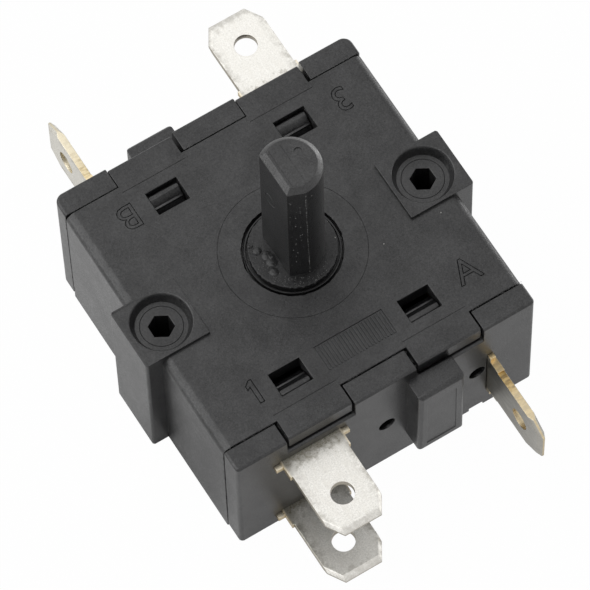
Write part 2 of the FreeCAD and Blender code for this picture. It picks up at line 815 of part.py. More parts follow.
def coinTip(body, name, end):
    tip = size("bladeReach") - size("tipChamferLength")

    def isTipEdge(edge):
        points = ends(edge) if edge.Vertexes else []
        if len(points) != 2 or any(p.y * end < tip.value - 1e-4 for p in points):
            return False
        outer = (points[0].y + points[1].y) / 2 * end
        alongThickness = (points[0] - points[1]).Length < size("bladeThickness").value + 1e-4
        return outer > tip.value + size("coinEdge").value and not alongThickness

    dress(body, "PartDesign::Chamfer", name + "Coin", isTipEdge, size("coinEdge"))


def makeCommonTerminal(name, end, height, plateLow, plateHigh, rivetLevels):
    # An upright blade that carries its plate along the side of the housing.
    body = newBody(name)
    side = -end
    level = commonInnerFace if side > 0 else -commonOuterFace
    elevation = newSketch(body, name + "Elevation", "YZ_Plane", level)
    tip = [(out, height + across) for across, out in bladeTip(zero, 1)]
    plate = [(ribFace, height - neckHalf), (ribFace, plateLow), (size("commonInnerEnd"), plateLow),
             (size("commonInnerEnd"), plateHigh), (ribFace, plateHigh), (ribFace, height + neckHalf)]
    points = tip + plate
    if end < 0:
        points = [(-y, z) for y, z in points]
    outline(elevation, points)
    addPad(body, elevation, size("bladeThickness"))
    x0, x1 = mirroredSpan(side, commonInnerFace, commonInnerFace + size("lugThickness"))
    y0, y1 = mirroredSpan(end, endFace, endFace + size("lugDepth"))
    overlap = neckHalf - size("seamGap")
    lugEnd = neckHalf + size("lugReach")
    block(body, name + "LugTop", x0, x1, y0, y1, height + overlap, height + lugEnd)
    block(body, name + "LugFoot", x0, x1, y0, y1, height - lugEnd, height - overlap)
    eye = newSketch(body, name + "Eye", "YZ_Plane", level)
    eyeAt = size("bladeReach") - size("bladeHoleInset")
    circle(eye, eyeAt if end > 0 else -eyeAt, height, size("bladeHoleRadius"))
    addPocket(body, eye, size("bladeThickness"))
    for number, rivetLevel in enumerate(rivetLevels):
        hole = newSketch(body, "%sRivetHole%d" % (name, number), "YZ_Plane", level)
        station = size("rivetStation") if end > 0 else -size("rivetStation")
        circle(hole, station, rivetLevel, size("shankRadius") + size("rivetClearance"))
        addPocket(body, hole, size("bladeThickness"))
    coinTip(body, name, end)
    return body


# spring arms, their rivets and the contacts
def makeArm(name, side, level):
    # side is the side of the shaft; the root lies behind it on the left and before it on the right
    body = newBody(name)
    thickness = size("armThickness")
    outer, inner = commonInnerFace, armInnerFace
    nose = size("camRadius") + size("noseClearance")
    flank = size("noseHalfWidth")
    crown = size("noseCrownHalf")
    bend = size("armBend")
    root, tip = size("armRootEnd"), -size("armTipEnd")
    run = [(inner, root), (inner, flank), (nose, crown), (nose, -crown), (inner, -flank), (inner, tip),
           (outer, tip), (outer, bend - flank), (nose + thickness, bend - crown),
           (nose + thickness, crown - bend), (outer, flank - bend), (outer, root)]
    points = [(x * side, y * -side) for x, y in run]
    plan = newSketch(body, name + "Plan", level=level - size("armWidth") / 2)
    outline(plan, points)
    addPad(body, plan, size("armWidth"))
    for number, station in enumerate((size("rivetStation"), -size("contactStation"))):
        hole = newSketch(body, "%sHole%d" % (name, number), "YZ_Plane", inner if side > 0 else -outer)
        circle(hole, station * -side, level, size("shankRadius") + size("rivetClearance"))
        addPocket(body, hole, thickness)
    return body


def makeRivet(name, side, station, level, steps):
    # A rivet along X; each step gives its distances from the shaft axis and its radius.
    body = newBody(name)
    for number, (inner, outer, radius) in enumerate(steps):
        low, high = mirroredSpan(side, inner, outer)
        sketch = newSketch(body, "%sStep%d" % (name, number), "YZ_Plane", low)
        circle(sketch, station, level, radius)
        addPad(body, sketch, high - low)
    return body


def makeContactSet(tag, side, level):
    shank, tail, head = size("shankRadius"), size("tailRadius"), size("contactRadius")
    makeArm("contact_arm_" + tag, side, level)
    root = size("rivetStation") * -side
    tip = size("contactStation") * side
    makeRivet("arm_rivet_" + tag, side, root, level, [
        (armInnerFace - size("tailHead"), armInnerFace, tail),
        (armInnerFace, commonOuterFace, shank)])
    makeRivet("moving_contact_" + tag, side, tip, level, [
        (armInnerFace - size("contactHead"), armInnerFace, head),
        (armInnerFace, commonInnerFace, shank)])
    makeRivet("fixed_contact_" + tag, side, tip, level, [
        (stripInner, stripInner + size("contactHead"), head),
        (tabBack, stripInner, shank)])


# detent balls and the spring between them
def makeBall(name, side):
    ball = doc.addObject("Part::Sphere", name)
    ball.Label = name
    ball.setExpression("Radius", size("ballRadius").text)
    ball.setExpression("Placement.Base.x", (ballStation * side).text)
    ball.setExpression("Placement.Base.z", size("ballHeight").text)
    return ball


def makeSpring(name):
    length = (ballStation - size("ballRadius")) * 2
    spine = doc.addObject("Part::Helix", "springSpine")
    spine.setExpression("Pitch", ((length - size("springWire")) / size("springTurns")).text)
    spine.setExpression("Height", (length - size("springWire")).text)
    spine.setExpression("Radius", size("springRadius").text)
    # the wire's section has six sides to keep the small spring light
    section = doc.addObject("Part::RegularPolygon", "springSection")
    section.Polygon = 6
    section.setExpression("Circumradius", (size("springWire") / 2).text)
    section.setExpression("Placement.Base.x", size("springRadius").text)
    section.Placement.Rotation = Rotation(Vector(1, 0, 0), 90)
    spring = doc.addObject("Part::Sweep", name)
    spring.Label = name
    spring.Sections = [section]
    spring.Spine = (spine, ["Edge1"])
    spring.Solid = True
    spring.Frenet = True
    spring.Placement.Rotation = Rotation(Vector(0, 1, 0), 90)
    spring.setExpression("Placement.Base.x", ((size("springWire") - length) / 2).text)
    spring.setExpression("Placement.Base.z", size("ballHeight").text)
    return spring


margin = size("armWidth") / 2 + size("contactMargin")
makeCover()
makeBase()
makeRotor()
makeFlatTerminal("terminal_front_upper", -1, upperBladeBottom, upperTrack - margin, size("upperBladeTop"))
makeFlatTerminal("terminal_front_lower", -1, floorTop, floorTop, lowerTrack + margin)
makeFlatTerminal("terminal_rear_upper", 1, upperBladeBottom, middleTrack - margin, size("upperBladeTop"))
frontHeight, rearHeight = size("frontCommonHeight"), size("rearCommonHeight")
makeCommonTerminal("terminal_front_common", -1, frontHeight, frontHeight - bladeHalf,
                   frontHeight + bladeHalf, [middleTrack])
makeCommonTerminal("terminal_rear_common", 1, rearHeight, lowerTrack - margin,
                   rearHeight + bladeHalf, [lowerTrack, upperTrack])
makeContactSet("upper", -1, upperTrack)
makeContactSet("lower", -1, lowerTrack)
makeContactSet("middle", 1, middleTrack)
makeBall("detent_ball_right", 1)
makeBall("detent_ball_left", -1)
makeSpring("detent_spring")
doc.recompute()


def checkDocument():
    for item in doc.Objects:
        if "Invalid" in item.State or "Error" in item.State:
            raise RuntimeError("%s did not build: %s" % (item.Name, item.State))


def writeParts():
    os.makedirs("parts", exist_ok=True)
    pieces = [o for o in doc.Objects if o.TypeId in ("PartDesign::Body", "Part::Sphere", "Part::Sweep")]
    for piece in pieces:
        if piece.Shape.isNull() or not piece.Shape.isValid() or not piece.Shape.Solids:
            raise RuntimeError("%s has no sound solid" % piece.Label)
    for piece in pieces:
        piece.Shape.exportStep("parts/%s.step" % piece.Label)
        box = piece.Shape.BoundBox
        print("%-24s %9.2f mm3  x %.2f..%.2f  y %.2f..%.2f  z %.2f..%.2f" % (
            piece.Label, piece.Shape.Volume, box.XMin, box.XMax, box.YMin, box.YMax, box.ZMin, box.ZMax))


checkDocument()
writeParts()
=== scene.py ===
import bpy
import bmesh
import math
import random
from mathutils import Matrix, Vector


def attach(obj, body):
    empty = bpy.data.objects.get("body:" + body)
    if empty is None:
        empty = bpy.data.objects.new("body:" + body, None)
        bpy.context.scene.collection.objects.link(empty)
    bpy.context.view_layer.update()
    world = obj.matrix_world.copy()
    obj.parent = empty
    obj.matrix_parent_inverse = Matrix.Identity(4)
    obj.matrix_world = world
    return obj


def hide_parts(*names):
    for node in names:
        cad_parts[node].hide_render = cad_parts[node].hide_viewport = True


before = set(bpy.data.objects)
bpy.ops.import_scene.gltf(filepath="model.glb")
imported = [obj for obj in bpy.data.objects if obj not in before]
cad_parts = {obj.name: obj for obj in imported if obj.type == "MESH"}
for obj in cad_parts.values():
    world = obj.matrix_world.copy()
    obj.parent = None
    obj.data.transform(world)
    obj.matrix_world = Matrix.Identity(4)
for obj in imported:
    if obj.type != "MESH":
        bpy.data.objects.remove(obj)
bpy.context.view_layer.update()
mm = 0.001
scene = bpy.context.scene
scene.view_settings.view_transform = "Standard"
print("frame loaded")


# small helpers for node trees

def addNode(tree, kind, settings=None, **sockets):
    node = tree.nodes.new(kind)
    for key, value in (settings or {}).items():
        setattr(node, key, value)
    for key, value in sockets.items():
        node.inputs[key.replace("_", " ")].default_value = value
    return node


def newFinish(name):
    finish = bpy.data.materials.new(name)
    finish.use_nodes = True
    tree = finish.node_tree
    tree.nodes.clear()
    output = addNode(tree, "ShaderNodeOutputMaterial")
    shader = addNode(tree, "ShaderNodeBsdfPrincipled")
    tree.links.new(shader.outputs["BSDF"], output.inputs["Surface"])
    return finish, tree, shader


def place(tree, stretch=(1, 1, 1), shift=(0, 0, 0)):
    coords = addNode(tree, "ShaderNodeTexCoord")
    mapping = addNode(tree, "ShaderNodeMapping")
    mapping.inputs["Scale"].default_value = stretch
    mapping.inputs["Location"].default_value = shift
    tree.links.new(coords.outputs["Object"], mapping.inputs["Vector"])
    return mapping.outputs["Vector"]


def noise(tree, scale, detail=2.0, rough=0.5, stretch=(1, 1, 1), shift=(0, 0, 0)):
    texture = addNode(tree, "ShaderNodeTexNoise", Scale=scale, Detail=detail, Roughness=rough)
    tree.links.new(place(tree, stretch, shift), texture.inputs["Vector"])
    return texture.outputs["Fac"]


def ramp(tree, source, low, high, lowValue=0.0, highValue=1.0):
    node = addNode(tree, "ShaderNodeMapRange", {"clamp": True})
    for key, value in (("From Min", low), ("From Max", high), ("To Min", lowValue), ("To Max", highValue)):
        node.inputs[key].default_value = value
    tree.links.new(source, node.inputs["Value"])
    return node.outputs["Result"]


def maths(tree, operation, first, second=0.5):
    node = addNode(tree, "ShaderNodeMath", {"operation": operation})
    for socket, value in zip(node.inputs, (first, second)):
        if isinstance(value, (int, float)):
            socket.default_value = value
        else:
            tree.links.new(value, socket)
    return node.outputs["Value"]


def times(tree, first, second):
    return maths(tree, "MULTIPLY", first, second)


def component(tree, kind, axis):
    # one axis of the object's own coordinates ("Object") or of its surface direction ("Normal")
    split = addNode(tree, "ShaderNodeSeparateXYZ")
    tree.links.new(addNode(tree, "ShaderNodeTexCoord").outputs[kind], split.inputs["Vector"])
    return split.outputs[axis]


def tint(tree, factor, first, second):
    node = addNode(tree, "ShaderNodeMix", {"data_type": "RGBA"})
    for socket, value in ((node.inputs[0], factor), (node.inputs[6], first), (node.inputs[7], second)):
        if isinstance(value, (int, float)):
            socket.default_value = value
        elif isinstance(value, tuple):
            socket.default_value = (*value, 1.0)
        else:
            tree.links.new(value, socket)
    return node.outputs[2]


def relief(tree, shader, layers, distance):
    normal = None
    for source, strength in layers:
        bump = addNode(tree, "ShaderNodeBump", Strength=strength, Distance=distance)
        tree.links.new(source, bump.inputs["Height"])
        if normal is not None:
            tree.links.new(normal, bump.inputs["Normal"])
        normal = bump.outputs["Normal"]
    tree.links.new(normal, shader.inputs["Normal"])


def specks(tree, size, radius, share, shift):
    # scattered dots with a soft rim: a share of the cells holds one
    cells = addNode(tree, "ShaderNodeTexVoronoi", Scale=1.0 / size)
    tree.links.new(place(tree, (1, 1, 1), shift), cells.inputs["Vector"])
    inner, softRim = radius / size, 1.6
    dot = ramp(tree, cells.outputs["Distance"], inner, inner * softRim, 1.0, 0.0)
    split = addNode(tree, "ShaderNodeSeparateColor")
    tree.links.new(cells.outputs["Color"], split.inputs["Color"])
    return times(tree, dot, maths(tree, "LESS_THAN", split.outputs[0], share))


# finishes

plasticValues = {
    # noise scales and colours that the three mouldings share
    "scales": {"mottle": 320, "grain": 7500, "pores": 5600, "wave": 130, "rubs": 2300, "scratches": 900},
    "pale": (0.03, 0.03, 0.031), "rubbedAndSheen": (0.08, 0.08, 0.08), "worn": (0.06, 0.06, 0.06),
    "dusty": (0.5, 0.49, 0.47), "scratched": (0.2, 0.2, 0.2),
    "dustStep": 1.3 * mm, "dustRadius": 0.05 * mm, "relief": 0.03 * mm,
    # heights at which the rotor's crown ends, and the limits of the space inside the base
    "crown": (18.9 * mm, 19.8 * mm), "insideTop": (13.0 * mm, 13.4 * mm),
    "insideWalls": (16.8 * mm, 17.15 * mm), "insideSoft": 0.15 * mm,
    "bodies": {
        # dark, light: body colours; dust: share of pale specks; scuff: how strongly the left-hand faces are
        # rubbed; scratch: how the scratches are drawn out; marred: their strength; shift: place in the noise;
        # deep: how dull the faces inside the housing are; paintedSheen: painted highlight, how much paler the
        # right-hand faces are painted; low: share of gloss left on the crown
        "cover": {"dark": (0.004, 0.004, 0.0044), "light": (0.0075, 0.0074, 0.008), "rough": 0.33,
                  "grain": 0.5, "dust": 0.05, "gloss": 0.62, "scuff": 0.9, "scratch": (1, 3, 3),
                  "marred": 0.3, "shift": (0.0, 0.0, 0.0), "deep": 0.0, "paintedSheen": 0.0, "low": 0.0},
        "base": {"dark": (0.004, 0.004, 0.0044), "light": (0.007, 0.0069, 0.0075), "rough": 0.32,
                 "grain": 0.5, "dust": 0.05, "gloss": 0.62, "scuff": 0.6, "scratch": (3, 1, 3),
                 "marred": 0.3, "shift": (0.3, 0.1, 0.0), "deep": 0.9, "paintedSheen": 0.0, "low": 0.0},
        "rotor": {"dark": (0.004, 0.004, 0.0044), "light": (0.008, 0.0079, 0.0084), "rough": 0.32,
                  "grain": 0.55, "dust": 0.4, "gloss": 0.66, "scuff": 0.1, "scratch": (2, 2, 0.7),
                  "marred": 0.8, "shift": (0.1, 0.5, 0.2), "deep": 0.0, "paintedSheen": 1.0, "low": 0.72},
    },
}


def plasticFinish(name):
    shared, values = plasticValues, plasticValues["bodies"][name]
    finish, tree, shader = newFinish(name + "Plastic")
    scales, shift = shared["scales"], values["shift"]
    mottle = noise(tree, scales["mottle"], 3, 0.6, shift=shift)
    grain = noise(tree, scales["grain"], 2, 0.7, shift=shift)
    pores = noise(tree, scales["pores"], 3, 0.8, shift=shift)
    wave = noise(tree, scales["wave"], 1, 0.4, shift=shift)
    rubs = noise(tree, scales["rubs"], 5, 0.9, (1, 0.8, 1), shift)
    scratches = noise(tree, scales["scratches"], 5, 0.85, values["scratch"], shift)
    colour = tint(tree, ramp(tree, mottle, 0.35, 0.65), values["dark"], values["light"])
    colour = tint(tree, ramp(tree, grain, 0.45, 0.75, 0.0, 0.7), colour, shared["pale"])
    # rubbed patches on the left-hand faces, small worn dots all over, and a painted highlight: the right-hand
    # faces painted paler
    leftward = ramp(tree, component(tree, "Normal", 0), -0.5, -0.95, 0.0, values["scuff"])
    patches = times(tree, ramp(tree, rubs, 0.48, 0.58), ramp(tree, mottle, 0.38, 0.6, 0.25, 1.0))
    colour = tint(tree, times(tree, patches, leftward), colour, shared["rubbedAndSheen"])
    colour = tint(tree, ramp(tree, rubs, 0.68, 0.8, 0.0, 0.3), colour, shared["worn"])
    rightward = ramp(tree, component(tree, "Normal", 0), 0.15, 0.7, 0.0, values["paintedSheen"])
    paintedSheen = times(tree, rightward, ramp(tree, rubs, 0.35, 0.65, 0.3, 1.0))
    colour = tint(tree, paintedSheen, colour, shared["rubbedAndSheen"])
    dust = specks(tree, shared["dustStep"], shared["dustRadius"], values["dust"], shift)
    colour = tint(tree, dust, colour, shared["dusty"])
    marks = ramp(tree, scratches, 0.69, 0.74, 0.0, values["marred"])
    colour = tint(tree, marks, colour, shared["scratched"])
    tree.links.new(colour, shader.inputs["Base Color"])
    gloss = ramp(tree, pores, 0.3, 0.7, values["gloss"] * 0.7, values["gloss"] * 1.3)
    gloss = times(tree, gloss, ramp(tree, mottle, 0.35, 0.65, 0.9, 1.1))
    if values["low"]:
        height = component(tree, "Object", 2)
        gloss = times(tree, gloss, ramp(tree, height, *shared["crown"], values["low"], 1.0))
    if values["deep"]:
        inside = ramp(tree, component(tree, "Object", 2), *shared["insideTop"], values["deep"], 0.0)
        for axis, wall in enumerate(shared["insideWalls"]):
            apart = maths(tree, "ABSOLUTE", component(tree, "Object", axis))
            inside = times(tree, inside, ramp(tree, apart, wall - shared["insideSoft"], wall, 1.0, 0.0))
        gloss = times(tree, gloss, maths(tree, "SUBTRACT", 1.0, inside))
    tree.links.new(gloss, shader.inputs["Specular IOR Level"])
    rough = ramp(tree, grain, 0.3, 0.7, values["rough"] - 0.06, values["rough"] + 0.08)
    tree.links.new(rough, shader.inputs["Roughness"])
    layers = ((grain, values["grain"]), (pores, 0.4), (mottle, 0.08), (wave, 0.12))
    relief(tree, shader, layers, shared["relief"])
    return finish


metalValues = {
    # limits along a blade, counted from the middle of the switch: the stained root with its ragged end, where
    # the sheared edges turn paler, where a dark blade is painted paler as a painted reflection, and the
    # coined tip
    "root": (17.5 * mm, 18.7 * mm), "ragged": 1.0 * mm, "paler": (19.5 * mm, 22.5 * mm),
    "paintedTipSpan": (21.0 * mm, 26.0 * mm), "coined": (26.0 * mm, 26.9 * mm),
    # limits across a blade: its dirty rims, and the lugs beside the root
    "rims": (2.2 * mm, 3.1 * mm), "lugs": (3.2 * mm, 3.3 * mm),
    # heights between which the rims turn from dirtier to cleaner, and the two strengths of the dirt
    "rimHeights": (4.0 * mm, 5.0 * mm), "rimDirt": (0.85, 0.55),
    "scales": {"grain": 6500, "draw": 2600, "spots": 1500, "ridges": 3200}, "relief": 0.02 * mm,
    "spotted": (0.3, 0.28, 0.24), "stained": (0.3, 0.28, 0.225), "burnt": (0.1, 0.085, 0.06),
    "dirty": (0.28, 0.26, 0.22), "coinedColour": (0.42, 0.4, 0.36), "paintedTipColour": (0.62, 0.6, 0.55),
    "lugFace": (0.85, 0.76, 0.58), "lugEdge": (0.8, 0.66, 0.42),
    "kinds": {
        # face: axis across the sheet; spots: strength of the stains; paintedTipLight: how much paler the tip
        # is painted, a painted reflection
        "flat": {"face": 2, "bright": (0.8, 0.785, 0.745), "dull": (0.56, 0.545, 0.51), "spots": 0.2,
                 "streak": (0.66, 0.64, 0.59), "edge": (0.42, 0.38, 0.3), "edgeDark": (0.26, 0.22, 0.16),
                 "edgePale": (0.45, 0.42, 0.36), "paintedTipLight": 0.0, "widthAxis": 0, "widthMiddle": -8.75 * mm},
        # a paler copy of flat: its paler colours are painted light on the rear blade
        "flatRear": {"face": 2, "bright": (0.84, 0.825, 0.785), "dull": (0.66, 0.645, 0.6), "spots": 0.12,
                     "streak": (0.74, 0.72, 0.67), "edge": (0.42, 0.38, 0.3), "edgeDark": (0.26, 0.22, 0.16),
                     "edgePale": (0.45, 0.42, 0.36), "paintedTipLight": 0.0, "widthAxis": 0,
                     "widthMiddle": 8.75 * mm},
        # its body colours are painted far darker than the other blades': a painted reflection of the dark
        # wall beside it
        "uprightFront": {"face": 0, "bright": (0.3, 0.29, 0.26), "dull": (0.17, 0.165, 0.15), "spots": 0.35,
                         "streak": (0.42, 0.41, 0.37), "edge": (0.66, 0.47, 0.19),
                         "edgeDark": (0.3, 0.2, 0.08), "edgePale": (0.64, 0.56, 0.4), "paintedTipLight": 0.35,
                         "widthAxis": 2, "widthMiddle": 7.8 * mm},
        "uprightRear": {"face": 0, "bright": (0.8, 0.78, 0.72), "dull": (0.6, 0.575, 0.51), "spots": 0.2,
                        "streak": (0.7, 0.68, 0.62), "edge": (0.66, 0.55, 0.34),
                        "edgeDark": (0.42, 0.33, 0.18), "edgePale": (0.72, 0.67, 0.54), "paintedTipLight": 0.0,
                        "widthAxis": 2, "widthMiddle": 11.0 * mm},
    },
}


def metalFinish(name):
    shared, values = metalValues, metalValues["kinds"][name]
    finish, tree, shader = newFinish(name + "Blade")
    shader.inputs["Metallic"].default_value = 1.0
    scales = shared["scales"]
    grain = noise(tree, scales["grain"], 3, 0.7)
    draw = noise(tree, scales["draw"], 3, 0.65, (1.6, 0.3, 1.6))
    spots = noise(tree, scales["spots"], 5, 0.7)
    colour = tint(tree, ramp(tree, grain, 0.3, 0.62), values["dull"], values["bright"])
    colour = tint(tree, ramp(tree, draw, 0.45, 0.62, 0.0, 0.5), colour, values["streak"])
    colour = tint(tree, ramp(tree, spots, 0.6, 0.72, 0.0, values["spots"]), colour, shared["spotted"])
    # a stained band beside the housing, ragged towards the tip
    outward = maths(tree, "ABSOLUTE", component(tree, "Object", 1))
    uneven = ramp(tree, spots, 0.3, 0.7, -shared["ragged"], shared["ragged"])
    reach = maths(tree, "ADD", outward, uneven)
    root = ramp(tree, reach, *shared["root"], 0.85, 0.0)
    colour = tint(tree, root, colour, shared["stained"])
    darker = times(tree, times(tree, root, 0.7), ramp(tree, grain, 0.5, 0.6))
    colour = tint(tree, darker, colour, shared["burnt"])
    # dirt along the rims, thicker on the lower blade
    sideways = maths(tree, "SUBTRACT", component(tree, "Object", values["widthAxis"]), values["widthMiddle"])
    sideways = maths(tree, "ABSOLUTE", sideways)
    dirt = times(tree, ramp(tree, sideways, *shared["rims"]), ramp(tree, spots, 0.42, 0.62))
    soiled = ramp(tree, component(tree, "Object", 2), *shared["rimHeights"], *shared["rimDirt"])
    colour = tint(tree, times(tree, dirt, soiled), colour, shared["dirty"])
    # the coined tip is a little greyer, and a dark blade is painted paler towards its tip, a painted
    # reflection
    colour = tint(tree, ramp(tree, reach, *shared["coined"], 0.0, 0.45), colour, shared["coinedColour"])
    paintedTipLight = ramp(tree, outward, *shared["paintedTipSpan"], 0.0, values["paintedTipLight"])
    colour = tint(tree, paintedTipLight, colour, shared["paintedTipColour"])
    # sheared edges show the brass, in ridges across the sheet; the staked lugs are paler
    ridges = noise(tree, scales["ridges"], 2, 0.6, (1, 1, 0.3) if values["face"] == 2 else (0.3, 1, 1))
    edge = tint(tree, ramp(tree, ridges, 0.42, 0.62), values["edge"], values["edgeDark"])
    edge = tint(tree, ramp(tree, reach, *shared["paler"], 0.0, 0.75), edge, values["edgePale"])
    lug = ramp(tree, sideways, *shared["lugs"], 0.0, 0.6)
    colour = tint(tree, lug, colour, shared["lugFace"])
    edge = tint(tree, lug, edge, shared["lugEdge"])
    across = maths(tree, "ABSOLUTE", component(tree, "Normal", values["face"]))
    colour = tint(tree, ramp(tree, across, 0.3, 0.55, 1.0, 0.0), colour, edge)
    tree.links.new(colour, shader.inputs["Base Color"])
    rough = ramp(tree, grain, 0.3, 0.7, 0.34, 0.52)
    tree.links.new(rough, shader.inputs["Roughness"])
    relief(tree, shader, ((grain, 0.3), (draw, 0.25), (spots, 0.2)), shared["relief"])
    return finish


innerValues = {
    "springStrip": {"colour": (0.72, 0.47, 0.28), "dark": (0.45, 0.27, 0.15), "rough": 0.35, "scale": 1500},
    "contactMetal": {"colour": (0.82, 0.82, 0.8), "dark": (0.6, 0.6, 0.6), "rough": 0.3, "scale": 2500},
    "detentSteel": {"colour": (0.62, 0.62, 0.64), "dark": (0.4, 0.4, 0.42), "rough": 0.22, "scale": 1800},
    "rivetBrass": {"colour": (0.75, 0.6, 0.34), "dark": (0.5, 0.38, 0.2), "rough": 0.35, "scale": 2000},
}


def innerFinish(name):
    values = innerValues[name]
    finish, tree, shader = newFinish(name)
    shader.inputs["Metallic"].default_value = 1.0
    grain = noise(tree, values["scale"], 4, 0.6)
    colour = tint(tree, ramp(tree, grain, 0.35, 0.65), values["dark"], values["colour"])
    tree.links.new(colour, shader.inputs["Base Color"])
    tree.links.new(ramp(tree, grain, 0.3, 0.7, values["rough"] - 0.05, values["rough"] + 0.1),
                   shader.inputs["Roughness"])
    relief(tree, shader, ((grain, 0.15),), 0.01 * mm)
    return finish


dustValues = {"dark": (0.1, 0.1, 0.1), "pale": (0.3, 0.3, 0.29), "rough": 0.6, "scale": 4000}


def dustFinish():
    # pale dried flash on the shaft, dirt on the crown and the pads
    values = dustValues
    finish, tree, shader = newFinish("dustFinish")
    grain = noise(tree, values["scale"], 2, 0.6)
    colour = tint(tree, ramp(tree, grain, 0.3, 0.7), values["dark"], values["pale"])
    tree.links.new(colour, shader.inputs["Base Color"])
    shader.inputs["Roughness"].default_value = values["rough"]
    relief(tree, shader, ((grain, 0.2),), 0.01 * mm)
    return finish


finishes = {name + "Plastic": plasticFinish(name) for name in plasticValues["bodies"]}
finishes["dustFinish"] = dustFinish()
finishes.update({name + "Blade": metalFinish(name) for name in metalValues["kinds"]})
finishes.update({name: innerFinish(name) for name in innerValues})


def coat(item, finish):
    item.data.materials.clear()
    item.data.materials.append(finishes[finish])


innerNodes = {"contact_arm": "springStrip", "arm_rivet": "rivetBrass", "moving_contact": "contactMetal",
              "fixed_contact": "contactMetal", "detent": "detentSteel"}
for nodeName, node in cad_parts.items():
    for start, finish in innerNodes.items():
        if nodeName.startswith(start):
            coat(node, finish)
print("finishes made")


# pieces that stand for CAD nodes: the same solids with their edges eased

def link(item):
    scene.collection.objects.link(item)
    return item


def cleanCopy(nodeName, pieceName):
    # a copy of a node's mesh with the triangles of each flat face joined
    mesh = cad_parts[nodeName].data.copy()
    mesh.name = pieceName
    form = bmesh.new()
    form.from_mesh(mesh)
    merge, level = 0.0005 * mm, math.radians(0.3)
    bmesh.ops.remove_doubles(form, verts=form.verts, dist=merge)
    bmesh.ops.dissolve_limit(form, angle_limit=level, verts=form.verts, edges=form.edges)
    form.to_mesh(mesh)
    form.free()
    if "custom_normal" in mesh.attributes:
        mesh.attributes.remove(mesh.attributes["custom_normal"])
    return link(bpy.data.objects.new(pieceName, mesh))


def applied(item):
    # the finished shape as a plain mesh, with no modifier left
    bpy.context.view_layer.update()
    made = item.evaluated_get(bpy.context.evaluated_depsgraph_get())
    mesh = bpy.data.meshes.new_from_object(made)
    old = item.data
    item.modifiers.clear()
    item.data = mesh
    mesh.name = item.name
    bpy.data.meshes.remove(old)
    return item


def easeEdges(item, width, angle=32.0, steps=2):
    # eases the outer edges only; inner corners stay sharp
    form = bmesh.new()
    form.from_mesh(item.data)
    weight = form.edges.layers.float.new("bevel_weight_edge")
    for edge in form.edges:
        if len(edge.link_faces) == 2 and edge.calc_face_angle_signed() > math.radians(angle):
            edge[weight] = 1.0
    form.to_mesh(item.data)
    form.free()
    bevel = item.modifiers.new("ease", "BEVEL")
    bevel.limit_method = "WEIGHT"
    bevel.width = width
    bevel.segments = steps
    bevel.use_clamp_overlap = False
    bevel.miter_outer = "MITER_ARC"
    return applied(item)


def evenShade(item, angle=40.0):
    # flat faces stay flat and only the eased edges and rounds turn smoothly
    for face in item.data.polygons:
        face.use_smooth = True
    item.data.set_sharp_from_angle(angle=math.radians(angle))
    weighted = item.modifiers.new("even", "WEIGHTED_NORMAL")
    weighted.weight = 100
    weighted.keep_sharp = True
    return applied(item)


def cut(item, cutter):
    boolean = item.modifiers.new("cut", "BOOLEAN")
    boolean.operation = "DIFFERENCE"
    boolean.solver = "EXACT"
    boolean.object = cutter
    applied(item)
    bpy.data.objects.remove(cutter)
    return item


markValues = {
    # each sign is outlined by a groove; groove is half its width
    "groove": 0.075 * mm, "height": 3.9 * mm,
    "drawn": {"1": ((-0.04, -0.34), (0.08, -0.34), (0.08, 0.34), (0.0, 0.34), (-0.13, 0.23), (-0.13, 0.11),
                    (-0.04, 0.17))},
    # sign, place in mm and turn in degrees, in the order of the cuts
    "signs": (("B", -11.7, 11.6, 180), ("3", 12.7, 11.6, 180), ("A", 13.1, -11.0, 0), ("1", -11.1, -11.0, 0)),
    "curveSteps": 3, "merge": 0.02 * mm,
}


def boxCutter(low, high):
    mesh = bpy.data.meshes.new("cutter")
    form = bmesh.new()
    bmesh.ops.create_cube(form, size=1.0)
    middle = (Vector(low) + Vector(high)) / 2
    span = Vector(high) - Vector(low)
    for vert in form.verts:
        vert.co = Vector(vert.co[i] * span[i] + middle[i] for i in range(3))
    form.to_mesh(mesh)
    form.free()
    return link(bpy.data.objects.new("cutter", mesh))


def meshItem(name, points, faces):
    mesh = bpy.data.meshes.new(name)
    mesh.from_pydata(points, [], faces)
    form = bmesh.new()
    form.from_mesh(mesh)
    bmesh.ops.recalc_face_normals(form, faces=form.faces)
    form.to_mesh(mesh)
    form.free()
    return link(bpy.data.objects.new(name, mesh))


def signLoops(sign):
    # the outlines of a sign as closed rows of points
    if sign in markValues["drawn"]:
        return [[Vector(point) * markValues["height"] for point in markValues["drawn"][sign]]]
    text = bpy.data.curves.new("sign", "FONT")
    text.body = sign
    text.size = markValues["height"]
    text.align_x = "CENTER"
    text.align_y = "CENTER"
    text.fill_mode = "NONE"
    text.resolution_u = markValues["curveSteps"]
    holder = link(bpy.data.objects.new("sign", text))
    bpy.context.view_layer.update()
    mesh = bpy.data.meshes.new_from_object(holder.evaluated_get(bpy.context.evaluated_depsgraph_get()))
    bpy.data.objects.remove(holder)
    form = bmesh.new()
    form.from_mesh(mesh)
    bmesh.ops.remove_doubles(form, verts=form.verts, dist=markValues["merge"])
    form.verts.ensure_lookup_table()
    loops, seen = [], set()
    for start in form.verts:
        if start in seen or len(start.link_edges) != 2:
            continue
        loop, vert, edge = [], start, start.link_edges[0]
        while vert not in seen:
            seen.add(vert)
            loop.append(Vector((vert.co.x, vert.co.y)))
            vert = edge.other_vert(vert)
            edge = next(e for e in vert.link_edges if e != edge)
        loops.append(loop)
    form.free()
    bpy.data.meshes.remove(mesh)
    return loops


def circle(steps):
    # even directions all round
    turns = [2 * math.pi * i / steps for i in range(steps)]
    return [(math.cos(turn), math.sin(turn)) for turn in turns]


